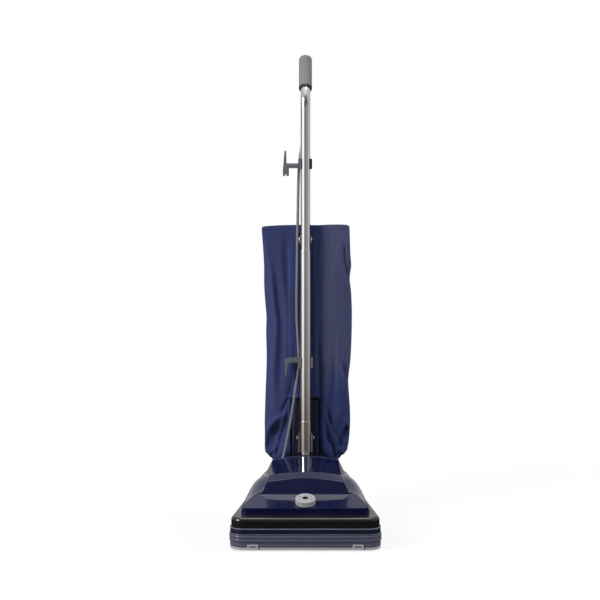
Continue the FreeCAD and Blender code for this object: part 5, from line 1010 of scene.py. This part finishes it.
def make_zip_teeth():
    """Two rows of small moulded teeth that lock into each other."""
    low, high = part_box("bag_zip")
    bm = bmesh.new()
    for i in range(int((high[2] - low[2] - 0.012) / TOOTH_PITCH)):
        for side in (-1, 1):
            z = low[2] + 0.006 + (i + (0.5 if side > 0 else 0)) * TOOTH_PITCH
            made = bmesh.ops.create_cube(bm, size=1)["verts"]
            bmesh.ops.scale(bm, vec=TOOTH_SIZE, verts=made)
            for v in made:
                if v.co.x * side < 0:
                    v.co.z *= 1.35
                if v.co.y > 0:
                    v.co.x *= 0.8
                    v.co.z *= 0.7
            bmesh.ops.translate(bm, vec=(side * 0.9 * MM, (low[1] + high[1]) / 2 + 0.25 * MM, z), verts=made)
    teeth = settle(bm, "zip_teeth", FINISHES["zip_plastic"], smooth=False)
    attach(teeth, "handle")
    return teeth


zip_tape = make_zip_tape()
zip_teeth = make_zip_teeth()


# Rubber neck between the duct and the fill tube

NECK_STEPS, NECK_SIDES, NECK_FOLDS = 34, 56, 4


def make_neck_sleeve():
    """The folded rubber sleeve, round at the duct and oblong at the fill tube."""
    rings = []
    for i in range(NECK_STEPS + 1):
        t = i / NECK_STEPS
        y, z = 87 + 28 * t, 102.1 + 29.8 * t
        half_x = through([(0, 14.5), (0.5, 17.5), (1, 30)], t)
        half_y = through([(0, 14.5), (0.5, 11.5), (1, 12)], t)
        power = 2.0 + 1.4 * t
        fold = 0.5 - 0.5 * math.cos(2 * math.pi * NECK_FOLDS * t)
        shrink = 1.6 * fold * min(1, t / 0.1, (1 - t) / 0.1)
        ring = []
        for k in range(NECK_SIDES):
            turn = 2 * math.pi * k / NECK_SIDES
            cx, cy = math.cos(turn), math.sin(turn)
            x = (half_x - shrink) * math.copysign(abs(cx) ** (2 / power), cx)
            dy = (half_y - shrink) * math.copysign(abs(cy) ** (2 / power), cy)
            ring.append(Vector((x, y + dy, z)) * MM)
        rings.append(ring)
    bm = bmesh.new()
    grow_rings(bm, rings)
    bmesh.ops.recalc_face_normals(bm, faces=bm.faces)
    sleeve = settle(bm, "neck_sleeve", FINISHES["neck_rubber"])
    add_wall(sleeve, 1.3)
    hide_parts("flexible_neck")
    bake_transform(sleeve)


make_neck_sleeve()


# Lead from the base to the switch

LOWER_ROUTE = [(-64.0, 84.0, 104.0), (-62.0, 84.6, 124.0), (-54.4, 86.0, 150.0), (-45.2, 88.6, 186.0),
               (-37.8, 90.8, 226.0), (-30.2, 93.4, 272.0), (-23.4, 96.4, 318.0), (-18.6, 99.2, 350.0),
               (-15.8, 100.4, 371.0)]
UPPER_ROUTE = [(-15.7, 100.4, 371.4), (-15.2, 100.8, 391.0), (-17.0, 100.8, 428.0), (-20.6, 100.2, 484.0),
               (-20.4, 100.8, 548.0), (-19.4, 100.2, 612.0), (-18.8, 100.6, 672.0), (-17.6, 100.2, 730.0),
               (-16.8, 100.8, 785.0), (-15.4, 100.4, 832.0), (-12.0, 102.0, 868.0), (-7.6, 105.6, 888.0),
               (-5.6, 108.0, 900.0)]
LEAD_RADIUS = 3.25


def lead_curve(name, route):
    """The lead's line as one smooth spline with the route as its control points."""
    data = bpy.data.curves.new(name, "CURVE")
    data.dimensions = "3D"
    data.resolution_u = 10
    spline = data.splines.new("NURBS")
    spline.points.add(len(route) - 1)
    for point, co in zip(spline.points, route):
        point.co = (*(Vector(co) * MM), 1)
    spline.order_u = 3
    spline.use_endpoint_u = True
    return add_object(name, data)


def thicken(curve):
    """The lead's round section along its line."""
    curve.bevel_depth = LEAD_RADIUS * MM
    curve.bevel_resolution = 5
    curve.use_fill_caps = True


def make_lower_lead():
    """The stretch from the gland up to the lower hook, as one fixed piece."""
    line = lead_curve("lower_lead_line", LOWER_ROUTE)
    path = [tuple(v.co) for v in bpy.data.meshes.new_from_object(line).vertices]
    thicken(line.data)
    bm = bmesh.new()
    bm.from_mesh(bpy.data.meshes.new_from_object(line))
    bpy.data.objects.remove(line)
    bmesh.ops.remove_doubles(bm, verts=bm.verts, dist=0.00001)
    bmesh.ops.recalc_face_normals(bm, faces=bm.faces)
    piece = settle(bm, "lower_lead", FINISHES["lead_jacket"])
    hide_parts("base_lead")
    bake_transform(piece)


def make_upper_lead():
    """The stretch from the lower hook up into the switch housing."""
    piece = lead_curve("upper_lead", UPPER_ROUTE)
    thicken(piece.data)
    piece.data.materials.append(FINISHES["lead_jacket"])
    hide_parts("switch_lead")
    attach(piece, "handle")


make_lower_lead()
make_upper_lead()


# Bristles of the brush roll

ROLL_AXIS = (0, -134.0, 28.0)
TUFTS, TUFT_START, TUFT_PITCH, TUFT_ROOT = 7, 14, 20.4, 17.6
BRISTLES, BRISTLE_LENGTH, BUNDLE_RADIUS = 20, 6.2, 1.9
GOLDEN_TURN = 2.39996


def make_brush_bristles():
    """Each tuft as a bundle of splayed bristles."""
    bm = bmesh.new()
    along = Vector((1, 0, 0))
    for row in range(2):
        for side in (-1, 1):
            for i in range(TUFTS):
                angle = math.radians(180 * row + side * 100 * i / 6)
                out = Vector((0, math.sin(angle), math.cos(angle)))
                cross = along.cross(out)
                root = Vector(ROLL_AXIS) + along * (side * (TUFT_START + i * TUFT_PITCH)) + out * TUFT_ROOT
                for k in range(BRISTLES):
                    turn = GOLDEN_TURN * k
                    reach = BUNDLE_RADIUS * math.sqrt((k + 0.5) / BRISTLES)
                    lean = along * math.cos(turn) + cross * math.sin(turn)
                    foot = root + lean * reach
                    tip = (root + out * (BRISTLE_LENGTH + luck.uniform(-0.5, 0.4))
                           + lean * (reach + 0.45 * luck.random()))
                    made = bmesh.ops.create_cone(bm, segments=4, radius1=0.17 * MM, radius2=0.1 * MM,
                                                 depth=(tip - foot).length * MM, cap_ends=True)["verts"]
                    turned = (tip - foot).to_track_quat("Z", "Y").to_matrix().to_4x4()
                    bmesh.ops.transform(bm, matrix=Matrix.Translation((foot + tip) / 2 * MM) @ turned, verts=made)
    bristles = settle(bm, "brush_bristles", FINISHES["bristle_fibre"])
    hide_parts("bristle_tufts")
    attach(bristles, "brush")


make_brush_bristles()
